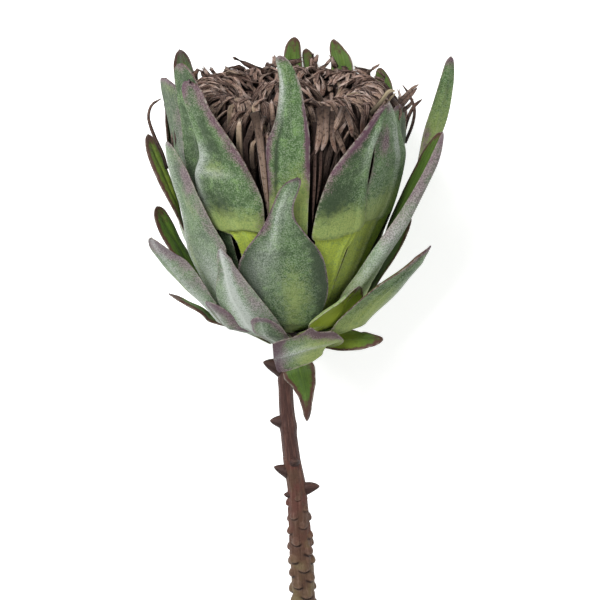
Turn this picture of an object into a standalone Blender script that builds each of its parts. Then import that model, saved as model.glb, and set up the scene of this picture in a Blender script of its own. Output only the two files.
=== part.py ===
"""A cut protea bloom on its stem, lying on a table as it was picked.

Metres, +Z up, with the origin on the table under the middle of the whole flower. The pieces are
modelled upright about the bloom's own axis, in millimetres, and one empty lays them down: the
head points to +Y, the cut end of the stem to -Y, and the side that a buyer looks at faces up.
In the upright frame +Z runs up the bloom, azimuth 0 is the viewed front and +90 its right side.
"""

import math

import bmesh
import bpy
import numpy as np
from mathutils import Matrix, Vector

MM = 0.001
SEED = 21
COLLECTION = "protea"

# How near points must be to be one, in metres: at a tube's caps, and after pieces are joined.
CAP_WELD = 0.00002
JOIN_WELD = 0.0000005

# The bloom laid down: its axis rises this much towards the head, and its foot is here on the table.
LAY_ANGLE = 9.3
FOOT = (-4.7, 44.76, 39.21)

# The cup: the outside of the mass of florets, which every bract wraps round.
CUP_HEIGHT = 125.0
CUP_NECK = 5.0
CUP_SWELL = 40.0
CUP_LEAN = 3.0
CUP_POWER = 2.6

# Bracts: overlapping layers round the cup, 0 the innermost, whose roots step down the receptacle.
BRACT_THICKNESS = 1.1
LAYER_PITCH = 1.9
SEAT = 0.95
OUTERMOST_LAYER = 7
LOWEST_ROOT = 1.5
ROOT_STEP = 2.6
BRACT_ROWS = 11
ROOT_CROWDING = 1.45
NARROWEST = 1.2
BRACT_COLUMNS = 4
RESTING_ROWS = 13
RESTING_COLUMNS = 7
PRESSED_HEIGHT = BRACT_THICKNESS / 2

# Stem: thin and plain above, thicker with old bark below, leaning off the bloom's axis.
# The lean grows over LEAN_SETTLES below the bloom, and a slight bow lies over BOW_LENGTH.
STEM_LENGTH = 214.0
STEM_LEAN = 0.060
LEAN_SETTLES = 30.0
STEM_BOW = 2.0
BOW_LENGTH = 60.0
THIN_TOP = -2.0
THIN_RADIUS = 2.6
THIN_FOOT_RADIUS = 3.25
SLEEVE_TOP = -45.5
SLEEVE_TOP_RADIUS = 3.45
SLEEVE_RADIUS = 5.1
SLEEVE_TAPER = 30.0
THIN_IN_SLEEVE = 8.0
RECEPTACLE_TOP = 19.0
RECEPTACLE_NECK = [(3.4, -4.0), (THIN_RADIUS, -9.0), (0.0, -9.0)]
SEAT_GAP = 0.35
CUTTER_SIZE = (0.2, 1.0, 0.1)

# Leaf scars wind down the sleeve, from below its top to above the cut end.
SCAR_RADIUS = 2.1
SCAR_SHAPE = (1.0, 0.75, 0.62)
SCAR_SINK = 0.62
SCAR_STEP = 4.6
SCAR_TURN = 137.5
FIRST_SCAR = SLEEVE_TOP - 14.0
LAST_SCAR = -STEM_LENGTH + 10.0

# Bud scales: height, azimuth, how far the tip stands off the stem and how far it rises.
BUD_SCALES = [(-14.5, -92, 5.8, 6.0), (-33.5, -88, 3.6, 4.2), (-55.0, -85, 4.0, 3.4),
              (-63.0, 88, 3.4, 3.6), (-50.0, 10, 2.2, 2.2)]
SCALE_ROOT_DEPTH = 1.0
SCALE_SHARES = (0.0, 0.45, 0.8, 1.0)
SCALE_WIDTHS = (4.4, 4.6, 3.2, 0.9)
SCALE_THICKNESSES = (2.4, 2.8, 2.0, 0.9)

# Florets: curved straps that stand out of a smaller core with a cushion, a trench and a mound.
CORE_INSET = 5.2
CORE_FOOT_INSET = 3.0
CORE_SHOULDER = 95.0
CORE_WALL_FOOT = RECEPTACLE_TOP + 4.0
CORE_TOP = [(0.0, 97.0), (8.0, 96.5), (13.0, 92.5), (17.5, 89.5), (22.0, 91.5), (27.0, 97.0),
            (33.0, 99.8), (38.0, 98.6)]
STRAP_THICKNESS = 1.5
STRAP_SECTIONS = 6
ROOT_DEPTH = 1.6

# Straps that climb the cup and turn over its rim. Each ring: share of a step it is turned, inset,
# width, tip width and drift, then the ranges of the root's and the turn's height, of the tip's
# radius and of how far the tip droops.
RIM_STRAPS = 36
RIM_JITTER = 0.6
CLIMB_START = 12.0
CLIMB_END = 94.0
SHOULDER_RADIUS = 45.0
SHOULDER_DROP = 3.2
TURN_RADIUS = 38.0
RIM_RINGS = {
    "outer": (0.0, 2.2, 3.4, 1.8, 3.0, (40.0, 48.0), (106.5, 109.0), (20.0, 28.0), (6.0, 11.0)),
    "second": (0.5, 4.6, 3.0, 1.8, 2.0, (57.0, 67.0), (103.0, 105.0), (27.0, 32.0), (3.0, 5.0)),
}

# Straps on the mound. Each ring: how many, jitter, drift, width, tip width, the range of how much
# higher each one ends, and the radius and height of its knots.
MOUND_RINGS = {
    "ring": (16, 3.0, 14.0, 2.4, 1.6, (-2.0, 3.0),
             [(18.0, 88.5), (18.5, 95.0), (16.5, 100.0), (11.5, 103.0), (6.5, 102.0)]),
    "centre": (6, 0.0, 10.0, 2.4, 1.5, (0.0, 4.0),
               [(8.5, 95.0), (8.8, 99.0), (7.0, 103.5), (2.6, 105.0)]),
}

# Strands that have sprung out between the bracts: azimuth, drift, and radius and height of knots.
STRAY_WIDTH = 1.7
STRAY_TIP_WIDTH = 1.3
STRAYS = {
    "stray_left": (-84.0, -4.0, [(38.0, 76.0), (45.0, 79.0), (51.5, 84.0), (55.0, 92.0),
                                 (53.0, 98.5), (49.0, 101.0)]),
    "stray_right": (84.0, 3.0, [(39.0, 84.0), (46.0, 88.0), (51.0, 96.0), (55.0, 102.0),
                                (58.5, 104.0)]),
}

# Each bract: layer, then stations from above its root to its tip.
# A station is height up the cup, azimuth, width, and where they aren't 0, lift off its layer, twist
# and gutter, which is how far the margins turn in. Millimetres and degrees.
FRONT_BRACTS = {
    "inner_bract_01": (1, [(17, 0, 10), (58, 0, 15), (88, 1.5, 14), (104, 1.5, 11),
                           (114, 1, 7.5), (121, -1, 5), (126, -4, 3)]),
    "inner_bract_02": (2, [(15, -22, 9), (50, -25, 16), (60, -25, 24), (74, -29, 28),
                           (88, -30, 20), (98, -32, 14), (108, -39, 11), (116, -43, 5)]),
    "inner_bract_03": (1, [(17, -49, 10), (50, -47, 18), (85, -46, 15), (103, -48, 12),
                           (116, -51, 9, 0.4), (122.5, -54.5, 4, 0.8)]),
    "inner_bract_04": (0, [(20, -67, 12), (50, -65, 22), (82, -66, 24), (98, -69, 21, 0.5),
                           (106, -71, 14, 1.5), (110.5, -69, 5, 2.5)]),
    "inner_bract_05": (2, [(15, 27, 9), (48, 27, 19), (62, 28, 22), (80, 30, 19),
                           (92, 33, 13), (99, 38, 8), (105, 46, 3)]),
    "inner_bract_06": (1, [(17, 53, 11), (50, 53, 18), (80, 55, 14), (96, 53, 8),
                           (106, 51.5, 3)]),
    "inner_bract_07": (0, [(20, 75, 11), (50, 75, 22), (78, 75, 18), (94, 67, 10),
                           (102, 63, 3)]),
    "inner_bract_08": (3, [(12, 90, 8), (40, 90, 14), (62, 91, 12, 2), (79, 92, 9, 4.4, 30),
                           (94, 93, 7, 6.8, 50), (107, 93, 5.6, 8.8, 50), (117, 93, 2.2, 10, 40)]),
    "middle_bract_01": (4, [(9.4, 0, 10), (20, 0, 23), (31, -1, 33), (42, -3, 36), (50, -4, 32),
                            (57, -5, 21), (65, -3, 11), (74, 0.5, 8, 0.6), (82, 4, 3, 1.6)]),
    "middle_bract_02": (4, [(9.4, -49, 9), (20, -50, 18), (31, -50.5, 24), (42, -50.5, 28.5),
                            (52, -49.5, 27), (62, -50, 21), (74, -53.5, 17), (83, -56, 12, 0.4),
                            (90.5, -59, 3, 1)]),
    "middle_bract_03": (3, [(12, -89, 9), (34, -90, 22), (50, -88, 25), (61, -87, 21),
                            (71, -91, 14, 0.5), (79, -95, 10, 2.2), (85, -98, 5, 4)]),
    "middle_bract_04": (4, [(9.4, 61, 9), (24, 61, 18), (38, 63, 20, 1.4),
                            (50, 66, 20, 3.4, -10, 2), (62, 69, 18, 4.6, -18, 4),
                            (75, 71, 15, 5.8, -20, 5), (85, 72, 10, 6.8, -12, 3),
                            (91, 72, 3, 7)]),
    "outer_bract_01": (6, [(4.2, -17, 7), (14, -21, 20), (23, -26, 26), (31, -29, 24),
                           (38, -29, 15), (45, -28.5, 8), (53, -31, 2.5)]),
    "outer_bract_02": (6, [(4.2, -68, 7), (14, -69, 14), (24, -69, 17, 1.8, -4, 1),
                           (35, -68, 16, 5, -16, 2), (45, -68, 11, 7.8, -24, 2),
                           (54, -69, 3.5, 10.6, -10)]),
    "outer_bract_03": (5, [(6.8, -98, 8), (20, -99, 17), (36, -97, 19), (46, -95, 13, 0.3),
                           (53, -94, 8, 1.2), (59, -94, 3, 2.5)]),
    "outer_bract_04": (6, [(4.2, 56, 7), (14, 58, 15), (24, 60, 20, 1, 6, 1.5),
                           (35, 61, 21, 4.2, 10, 3.5), (45, 62, 14, 8.2, 6, 3.2), (54, 63, 4, 12)]),
    "outer_bract_05": (5, [(6.8, 28, 6), (17, 26, 10), (25, 24.5, 8.5), (31, 23.5, 4)]),
    "outer_bract_06": (5, [(6.8, -43, 7), (14, -44, 13), (21, -46, 13), (27, -48, 8),
                           (31, -49, 4)]),
    "basal_bract_01": (7, [(1.6, -14, 5), (10, -16, 11), (19, -19, 11, 0.6), (27, -21, 5, 1.6)]),
    "basal_bract_02": (7, [(1.6, -90, 5), (9, -90, 11), (17, -90, 12, 1.6), (25, -90, 9, 5.5),
                           (32, -90, 3, 9)]),
    "basal_bract_03": (7, [(1.6, 70, 5), (8, 71, 10, 1, -10), (14, 71, 13, 4.5, -38),
                           (20, 72, 5, 8.5, -38)]),
}

# Two bracts bent over at the foot of the cup, as the paths of their midribs.
# A station is across, forward, up and width, and the last vector is the way the outer face looks.
BENT_BRACTS = {
    "basal_bract_04": ([(3.4, 4.1, -1.6, 4.5), (8.5, 10.5, -1.0, 9), (13.8, 19, 2.6, 14.5),
                        (12.8, 26.5, 5.2, 16), (6.0, 31, 5.6, 16), (-2, 33.5, 3.8, 13.5),
                        (-5.0, 34, 2.4, 9)], (0.1, -0.85, -0.5)),
    "basal_bract_05": ([(0.5, 5.0, -2.6, 3.6), (4.2, 11, -5.0, 9.4), (6.7, 13.6, -9.5, 9.4),
                        (7.3, 13.6, -18, 5.4), (7.7, 12.2, -28, 1.4)], (-0.1, -0.97, -0.2)),
}

# Round the back, out of sight from the front: azimuth, layer, height of the tip, width, flare.
BACK_BRACTS = {
    "inner_bract_09": (104, 1, 84, 20, 0.5),
    "inner_bract_10": (126, 0, 110, 21, 1.0),
    "inner_bract_11": (154, 1, 116, 19, 1.0),
    "inner_bract_12": (178, 0, 116, 20, 0.5),
    "inner_bract_13": (-153, 1, 103, 20, 0.0),
    "inner_bract_14": (-121, 0, 115, 21, 0.5),
    "inner_bract_15": (-98, 1, 97, 19, 0.0),
    "inner_bract_16": (166, 2, 108, 11, 0.0),
    "middle_bract_06": (127, 3, 88, 24, 5.0),
    "middle_bract_07": (180, 3, 80, 26, 0.0),
    "middle_bract_08": (-134, 3, 86, 24, 4.0),
    "outer_bract_07": (104, 5, 54, 22, 4.0),
    "outer_bract_08": (144, 6, 55, 22, 5.0),
    "outer_bract_09": (178, 5, 52, 20, 0.0),
    "outer_bract_10": (-137, 6, 56, 22, 5.0),
    "basal_bract_06": (119, 7, 30, 13, 5.0),
    "basal_bract_07": (159, 7, 28, 13, 1.0),
    "basal_bract_08": (-156, 7, 28, 14, 1.0),
}

# The two that carry the head on the table, pressed flat where they touch it.
RESTING_BRACTS = {
    "resting_bract_left": -154,
    "resting_bract_right": 154,
}
RESTING_LAYER = 4

# Stations of both: height up the cup, width and lift.
RESTING_STATIONS = [(9.4, 12, 0), (22, 24, 0), (34, 29, 0), (48, 29, 0), (60, 27, 0.8),
                    (70, 24, 2.6), (80, 19, 4.4), (88, 11, 5.2), (94, 4, 5.4)]

# Round the back, the bracts of layers below this one show their inner side to the front.
INNER_LAYERS = 3

# How sharp an edge of the stem or of a strap has to be to stay an edge when shaded, in degrees.
SHARP_EDGE = 40.0

# Colours: linear red, green, blue, with roughness.
GREY_GREEN = ((0.150, 0.235, 0.130), 0.72)
INNER_GREEN = ((0.160, 0.260, 0.090), 0.70)
BROWN_FLORET = ((0.105, 0.058, 0.042), 0.80)
BARK_BROWN = ((0.130, 0.062, 0.040), 0.68)


def clear_scene():
    """Empty the scene that the script starts in."""
    for item in list(bpy.data.objects):
        bpy.data.objects.remove(item, do_unlink=True)


def new_collection(name):
    """A collection under the scene's own."""
    made = bpy.data.collections.new(name)
    bpy.context.scene.collection.children.link(made)
    return made


def principled(name, finish):
    """A Principled BSDF of one colour and roughness."""
    colour, roughness = finish
    made = bpy.data.materials.new(name)
    made.use_nodes = True
    shader = made.node_tree.nodes["Principled BSDF"]
    shader.inputs["Base Color"].default_value = (*colour, 1.0)
    shader.inputs["Roughness"].default_value = roughness
    shader.inputs["Metallic"].default_value = 0.0
    made.diffuse_color = (*colour, 1.0)
    return made


def laid_down():
    """The matrix that takes the upright bloom, in metres, to its place on the table."""
    turn = Matrix.Rotation(math.radians(LAY_ANGLE - 90.0), 4, "X")
    return Matrix.Translation(Vector(FOOT) * MM) @ turn


def cup_radius(height):
    """Radius of the cup at a height: a steep swell from the neck that eases into a slight lean."""
    rest = np.clip(1.0 - height / CUP_HEIGHT, 0.0, None)
    return CUP_NECK + CUP_SWELL * (1.0 - rest ** CUP_POWER) + CUP_LEAN * height / CUP_HEIGHT


def cup_slope(height):
    """How fast the cup's radius grows with height."""
    rest = np.clip(1.0 - height / CUP_HEIGHT, 0.0, None)
    swell = CUP_SWELL * CUP_POWER / CUP_HEIGHT * rest ** (CUP_POWER - 1.0)
    return swell + CUP_LEAN / CUP_HEIGHT


def off_the_cup(height, out):
    """Radius and height of a point that stands off the cup's surface, square to it."""
    slope = cup_slope(height)
    length = np.sqrt(1.0 + slope ** 2)
    return cup_radius(height) + out / length, height - out * slope / length


def around(radius, azimuth, height):
    """Upright points from radius, azimuth in degrees (0 at the front) and height."""
    turn = np.radians(azimuth)
    return np.stack([radius * np.sin(turn), -radius * np.cos(turn), height], axis=-1)


def smooth_rows(stations, count, crowding=1.0):
    """Catmull-Rom rows through the stations, crowded towards the first one above 1."""
    knots = np.array(stations, dtype=float)
    padded = np.vstack([2 * knots[0] - knots[1], knots, 2 * knots[-1] - knots[-2]])
    steps = np.linalg.norm(np.diff(knots[:, :3], axis=0), axis=1)
    along = np.concatenate([[0.0], np.cumsum(steps)])
    wanted = along[-1] * np.linspace(0.0, 1.0, count) ** crowding
    part = np.clip(np.searchsorted(along, wanted, side="right") - 1, 0, len(steps) - 1)
    t = ((wanted - along[part]) / steps[part])[:, None]
    p0, p1, p2, p3 = (padded[part + k] for k in range(4))
    bend = 2 * p0 - 5 * p1 + 4 * p2 - p3
    return 0.5 * (2 * p1 + (p2 - p0) * t + bend * t ** 2 + (3 * p1 - p0 - 3 * p2 + p3) * t ** 3)


def root_height(layer):
    """Height up the receptacle where a layer's bracts are seated."""
    return LOWEST_ROOT + ROOT_STEP * (OUTERMOST_LAYER - layer)


def wrapped_blade(layer, stations, columns=BRACT_COLUMNS, rows=BRACT_ROWS):
    """Grid of a bract that wraps round the cup in its layer, rows from root to tip."""
    filled = [tuple(s) + (0.0,) * (6 - len(s)) for s in stations]
    table = smooth_rows(filled, rows, ROOT_CROWDING)
    height, azimuth, width, lift, twist, gutter = (table[:, k][:, None] for k in range(6))
    share = np.linspace(-1.0, 1.0, columns)[None, :]
    across = 0.5 * share * np.maximum(width, NARROWEST)
    turn = np.radians(twist)
    climbed = (height - root_height(layer)) / ROOT_STEP
    seat = SEAT + LAYER_PITCH * np.clip(climbed, 0.0, layer)
    middle_radius, _ = off_the_cup(height, seat + lift)
    radius, up = off_the_cup(height, seat + lift + across * np.sin(turn) - gutter * share ** 2)
    spread = np.degrees(across * np.cos(turn) / middle_radius)
    return around(radius, azimuth + spread, up)


def back_stations(azimuth, layer, tip, width, flare):
    """Stations of an ordinary bract: narrow root, belly low down, tapering to a flared tip."""
    low = root_height(layer)
    reach = tip - low
    outline = [(0.0, 0.34, 0.0), (0.22, 0.80, 0.0), (0.45, 1.0, 0.05), (0.68, 0.78, 0.3),
               (0.86, 0.42, 0.7), (1.0, 0.12, 1.0)]
    return [(low + 0.1 + reach * s, azimuth, width * w, flare * f) for s, w, f in outline]


def bent_blade(stations, outward, columns=BRACT_COLUMNS, rows=BRACT_ROWS):
    """Grid of a bract along a midrib given as points, with its outer face looking outward."""
    table = smooth_rows(stations, rows)
    middle = np.stack([table[:, 0], -table[:, 1], table[:, 2]], axis=-1)
    along = np.gradient(middle, axis=0)
    along /= np.linalg.norm(along, axis=1, keepdims=True)
    side = np.cross(along, np.array(outward))
    side /= np.linalg.norm(side, axis=1, keepdims=True)
    across = np.linspace(-0.5, 0.5, columns)[None, :, None] * table[:, 3][:, None, None]
    return middle[:, None, :] + across * side[:, None, :]


def press_on_table(grid):
    """Move what would dip below the table up onto it, leaving room for half the thickness."""
    matrix = np.array(laid_down())
    turn, place = matrix[:3, :3], matrix[:3, 3] / MM
    world = grid @ turn.T + place
    world[..., 2] = np.maximum(world[..., 2], PRESSED_HEIGHT)
    return (world - place) @ turn


def sheet_object(name, grid, finish, collection, parent):
    """An object with one open sheet over a grid of points, thickened to a bract."""
    rows, columns = grid.shape[:2]
    order = np.arange(rows * columns).reshape(rows, columns)
    near, far = order[:-1], order[1:]
    lower = np.stack([near[:, :-1], near[:, 1:], far[:, 1:]], axis=-1).reshape(-1, 3)
    upper = np.stack([near[:, :-1], far[:, 1:], far[:, :-1]], axis=-1).reshape(-1, 3)
    mesh = bpy.data.meshes.new(name)
    mesh.from_pydata((grid.reshape(-1, 3) * MM).tolist(), [], np.vstack([lower, upper]).tolist())
    mesh.materials.append(principled(name, finish))
    mesh.shade_smooth()
    made = bpy.data.objects.new(name, mesh)
    collection.objects.link(made)
    made.parent = parent
    wall = made.modifiers.new("thickness", "SOLIDIFY")
    wall.thickness = BRACT_THICKNESS * MM
    wall.offset = 0.0
    wall.use_even_offset = True
    return made


def strap_object(name, points, widths, thicknesses, sideways, collection):
    """A strap with a low three-sided section, flat below, its wide way sideways, closed at both ends."""
    points = np.array(points, dtype=float)
    along = np.gradient(points, axis=0)
    along /= np.linalg.norm(along, axis=1, keepdims=True)
    side = sideways - along * np.sum(sideways * along, axis=1, keepdims=True)
    side /= np.linalg.norm(side, axis=1, keepdims=True)
    face = np.cross(side, along)
    half_width = 0.5 * np.asarray(widths)[:, None]
    half_thick = 0.5 * np.asarray(thicknesses)[:, None]
    below = points - face * half_thick
    ring = np.stack([below - side * half_width, below + side * half_width,
                     points + face * half_thick], axis=1)
    order = np.arange(len(points) * 3).reshape(-1, 3)
    turned = np.roll(order, -1, axis=1)
    lower = np.stack([order[:-1], turned[:-1], turned[1:]], axis=-1).reshape(-1, 3)
    upper = np.stack([order[:-1], turned[1:], order[1:]], axis=-1).reshape(-1, 3)
    faces = np.vstack([lower, upper]).tolist() + [order[0][::-1].tolist(), order[-1].tolist()]
    mesh = bpy.data.meshes.new(name)
    mesh.from_pydata((ring.reshape(-1, 3) * MM).tolist(), [], faces)
    shell = bmesh.new()
    shell.from_mesh(mesh)
    bmesh.ops.recalc_face_normals(shell, faces=shell.faces)
    shell.to_mesh(mesh)
    shell.free()
    made = bpy.data.objects.new(name, mesh)
    collection.objects.link(made)
    return made


def turned_object(name, profile, steps, collection):
    """A turned solid from a profile of radius and height, from the top down to the foot."""
    mesh = bpy.data.meshes.new(name)
    points = [(radius * MM, 0.0, height * MM) for radius, height in profile]
    mesh.from_pydata(points, [(k, k + 1) for k in range(len(points) - 1)], [])
    made = bpy.data.objects.new(name, mesh)
    collection.objects.link(made)
    screw = made.modifiers.new("turn", "SCREW")
    screw.steps = steps
    screw.render_steps = steps
    screw.use_merge_vertices = True
    screw.merge_threshold = CAP_WELD
    return made


def as_mesh(made, name, collection, weld=CAP_WELD):
    """A plain mesh object in place of one with modifiers or a curve, its caps welded."""
    graph = bpy.context.evaluated_depsgraph_get()
    mesh = bpy.data.meshes.new_from_object(made.evaluated_get(graph))
    shell = bmesh.new()
    shell.from_mesh(mesh)
    bmesh.ops.remove_doubles(shell, verts=shell.verts, dist=weld)
    bmesh.ops.recalc_face_normals(shell, faces=shell.faces)
    shell.to_mesh(mesh)
    shell.free()
    plain = bpy.data.objects.new(name, mesh)
    plain.matrix_world = made.matrix_world
    bpy.data.objects.remove(made, do_unlink=True)
    collection.objects.link(plain)
    return plain


def join_pieces(body, pieces, finish, collection, parent):
    """One solid from a body and the collection of pieces rooted in it."""
    union = body.modifiers.new("join", "BOOLEAN")
    union.operation = "UNION"
    union.operand_type = "COLLECTION"
    union.collection = pieces
    union.solver = "MANIFOLD"
    name = body.name
    joined = as_mesh(body, name + "_joined", collection, JOIN_WELD)
    for piece in list(pieces.objects):
        bpy.data.objects.remove(piece, do_unlink=True)
    bpy.data.collections.remove(pieces)
    joined.name = name
    joined.data.materials.clear()
    joined.data.materials.append(principled(name, finish))
    joined.data.shade_smooth()
    joined.data.set_sharp_from_angle(angle=math.radians(SHARP_EDGE))
    joined.parent = parent
    return joined


def stem_middle(height):
    """Middle of the stem, across, at a height below the bloom's foot."""
    lean = -STEM_LEAN * height * np.clip(-height / LEAN_SETTLES, 0.0, 1.0)
    return lean - STEM_BOW * np.sin(np.pi * np.clip(-height / BOW_LENGTH, 0.0, 1.0))


def tube_object(name, points, radii, collection):
    """A tube of changing radius through points, with filled caps."""
    curve = bpy.data.curves.new(name, "CURVE")
    curve.dimensions = "3D"
    curve.bevel_depth = MM
    curve.bevel_resolution = 3
    curve.use_fill_caps = True
    spline = curve.splines.new("POLY")
    spline.points.add(len(points) - 1)
    for knot, point, radius in zip(spline.points, points, radii):
        knot.co = (*(np.array(point) * MM), 1.0)
        knot.radius = radius
    made = bpy.data.objects.new(name, curve)
    collection.objects.link(made)
    return made


def stem_tube(name, top, foot, radius_at, count, collection):
    """A stretch of the stem as a tube, from one height down to another."""
    heights = np.linspace(top, foot, count)
    points = [(float(stem_middle(h)), 0.0, float(h)) for h in heights]
    radii = [radius_at(float(h)) for h in heights]
    return as_mesh(tube_object(name, points, radii, collection), name + "_tube", collection)


def sleeve_radius(height):
    """Radius of the bark sleeve: slimmer at its top, full where its taper ends."""
    down = min(1.0, max(0.0, (SLEEVE_TOP - height) / SLEEVE_TAPER))
    return SLEEVE_TOP_RADIUS + (SLEEVE_RADIUS - SLEEVE_TOP_RADIUS) * down


def thin_radius(height):
    """Radius of the bare upper stem, which thickens evenly down to the sleeve."""
    down = min(1.0, max(0.0, height / SLEEVE_TOP))
    return THIN_RADIUS + (THIN_FOOT_RADIUS - THIN_RADIUS) * down


def leaf_scar(name, height, azimuth, collection):
    """A low rounded knob where a leaf stood, sunk into the bark sleeve."""
    scale = Matrix.Diagonal((*SCAR_SHAPE, 1.0))
    centre_radius = sleeve_radius(height) - SCAR_RADIUS + SCAR_SINK
    place = around(np.array(centre_radius), azimuth, np.array(height))
    place = place + np.array([float(stem_middle(height)), 0.0, 0.0])
    shell = bmesh.new()
    bmesh.ops.create_icosphere(shell, subdivisions=1, radius=SCAR_RADIUS)
    turn = Matrix.Rotation(math.radians(azimuth), 4, "Z")
    bmesh.ops.transform(shell, matrix=turn @ scale, verts=shell.verts)
    bmesh.ops.scale(shell, vec=(MM, MM, MM), verts=shell.verts)
    bmesh.ops.translate(shell, vec=Vector(place.tolist()) * MM, verts=shell.verts)
    mesh = bpy.data.meshes.new(name)
    shell.to_mesh(mesh)
    shell.free()
    made = bpy.data.objects.new(name, mesh)
    collection.objects.link(made)


def bud_scale(name, height, azimuth, stem_radius, reach, rise, collection):
    """A pointed scale that stands off the stem and turns up, its root inside the stem."""
    bend = np.array(SCALE_SHARES) * math.pi / 2
    out = stem_radius - SCALE_ROOT_DEPTH + (reach + SCALE_ROOT_DEPTH) * np.sin(bend)
    up = height + rise * (1.0 - np.cos(bend))
    points = around(out, np.full(len(bend), azimuth), up)
    points[:, 0] += float(stem_middle(height))
    sideways = np.tile(around(np.array(1.0), azimuth + 90.0, np.array(0.0)), (len(bend), 1))
    strap_object(name, points, SCALE_WIDTHS, SCALE_THICKNESSES, sideways, collection)


def build_stem(collection, parent):
    """Stem with its receptacle, bark sleeve, leaf scars and bud scales, as one solid."""
    pieces = new_collection("stem_pieces")
    heights = np.linspace(RECEPTACLE_TOP, 0.0, 9)
    seat_radius, seat_height = off_the_cup(heights, SEAT - BRACT_THICKNESS / 2 - SEAT_GAP)
    cone = list(zip(seat_radius.tolist(), seat_height.tolist()))
    profile = [(0.0, cone[0][1])] + cone + RECEPTACLE_NECK
    as_mesh(turned_object("receptacle", profile, 28, pieces), "receptacle_solid", pieces)
    body = stem_tube("stem", THIN_TOP, SLEEVE_TOP - THIN_IN_SLEEVE, thin_radius, 9, collection)
    body.name = "stem"
    stem_tube("sleeve", SLEEVE_TOP, -STEM_LENGTH, sleeve_radius, 14, pieces)
    for k in range(int((FIRST_SCAR - LAST_SCAR) / SCAR_STEP)):
        leaf_scar(f"scar_{k}", FIRST_SCAR - SCAR_STEP * k, SCAR_TURN * k, pieces)
    for k, (height, azimuth, reach, rise) in enumerate(BUD_SCALES):
        radius = thin_radius(height) if height > SLEEVE_TOP else sleeve_radius(height)
        bud_scale(f"scale_{k}", height, azimuth, radius, reach, rise, pieces)
    stem = join_pieces(body, pieces, BARK_BROWN, collection, parent)
    shave_foot(stem)
    return stem


def shave_foot(stem):
    """Shave the flat on which the stem's lower end lies on the table."""
    cutters = new_collection("cutters")
    mesh = bpy.data.meshes.new("table_cutter")
    shell = bmesh.new()
    bmesh.ops.create_cube(shell, size=1.0)
    bmesh.ops.scale(shell, vec=CUTTER_SIZE, verts=shell.verts)
    bmesh.ops.translate(shell, vec=(0.0, 0.0, -CUTTER_SIZE[2] / 2), verts=shell.verts)
    shell.to_mesh(mesh)
    shell.free()
    cutter = bpy.data.objects.new("table_cutter", mesh)
    cutters.objects.link(cutter)
    cutter.hide_render = True
    cutter.display_type = "WIRE"
    cut = stem.modifiers.new("flat", "BOOLEAN")
    cut.operation = "DIFFERENCE"
    cut.object = cutter
    cut.solver = "EXACT"


def core_profile():
    """Profile of the florets' core: mound, trench and cushion on top, then down inside the cup."""
    heights = np.linspace(CORE_SHOULDER, CORE_WALL_FOOT, 9)
    wall = [(float(cup_radius(h)) - CORE_INSET, float(h)) for h in heights]
    foot = RECEPTACLE_TOP + SEAT_GAP
    return CORE_TOP + wall + [(float(cup_radius(foot)) - CORE_FOOT_INSET, foot), (0.0, foot)]


def strap_path(knots, azimuth, drift, count=STRAP_SECTIONS):
    """Points of a strap in the plane of an azimuth that drifts along it."""
    table = smooth_rows([(r, z, 0.0) for r, z in knots], count)
    turn = azimuth + np.linspace(0.0, 1.0, count) ** 1.5 * drift
    return around(table[:, 0], turn, table[:, 1]), turn


def add_strap(name, knots, azimuth, drift, width, tip_width, pieces):
    """One strap-like floret, flat side out, tapering from its middle to its tip."""
    points, turn = strap_path(knots, azimuth, drift)
    share = np.linspace(0.0, 1.0, len(points))
    widths = width + (tip_width - width) * share ** 1.6
    sideways = around(np.ones(len(points)), turn + 90.0, np.zeros(len(points)))
    thick = np.full(len(points), STRAP_THICKNESS)
    strap_object(name, points, widths, thick, sideways, pieces)


def rim_knots(inset, low, top, reach, droop):
    """Radius and height of a strap that climbs the cup, turns over the rim and droops inward."""
    climb = [(float(cup_radius(h)) - inset, h) for h in np.linspace(low + CLIMB_START, CLIMB_END, 3)]
    root = [(float(cup_radius(low)) - CORE_INSET - ROOT_DEPTH, low)]
    over = [(SHOULDER_RADIUS - inset, top - SHOULDER_DROP), (TURN_RADIUS - inset, top),
            (0.5 * (TURN_RADIUS + reach), top - 0.4 * droop), (reach, top - droop)]
    return root + climb + over


def build_rim_ring(draw, name, ring, pieces):
    """One ring of straps that climb the cup and turn over its rim."""
    turned, inset, width, tip_width, drift, *ranges = ring
    for k in range(RIM_STRAPS):
        azimuth = 360.0 / RIM_STRAPS * (k + turned) + draw.uniform(-RIM_JITTER, RIM_JITTER)
        knots = rim_knots(inset, *[draw.uniform(*span) for span in ranges])
        add_strap(f"{name}_{k}", knots, azimuth, draw.uniform(-drift, drift), width, tip_width,
                  pieces)


def build_mound_ring(draw, name, ring, pieces):
    """One ring of straps on the mound, each a little higher or lower at its end."""
    count, jitter, drift, width, tip_width, rises, knots = ring
    for k in range(count):
        azimuth = 360.0 / count * k + draw.uniform(-jitter, jitter)
        rise = draw.uniform(*rises)
        raised = [(r, z + rise * min(1.0, j / 2)) for j, (r, z) in enumerate(knots)]
        add_strap(f"{name}_{k}", raised, azimuth, draw.uniform(-drift, drift), width, tip_width,
                  pieces)


def build_florets(collection, parent):
    """The head of florets: straps in rings, rooted in a core that sits on the receptacle."""
    draw = np.random.default_rng(SEED)
    pieces = new_collection("floret_pieces")
    body = as_mesh(turned_object("floret_head", core_profile(), 30, collection), "core", collection)
    body.name = "floret_head"
    for name, ring in RIM_RINGS.items():
        build_rim_ring(draw, name, ring, pieces)
    for name, ring in MOUND_RINGS.items():
        build_mound_ring(draw, name, ring, pieces)
    for name, (azimuth, drift, knots) in STRAYS.items():
        add_strap(name, knots, azimuth, drift, STRAY_WIDTH, STRAY_TIP_WIDTH, pieces)
    return join_pieces(body, pieces, BROWN_FLORET, collection, parent)


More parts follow.
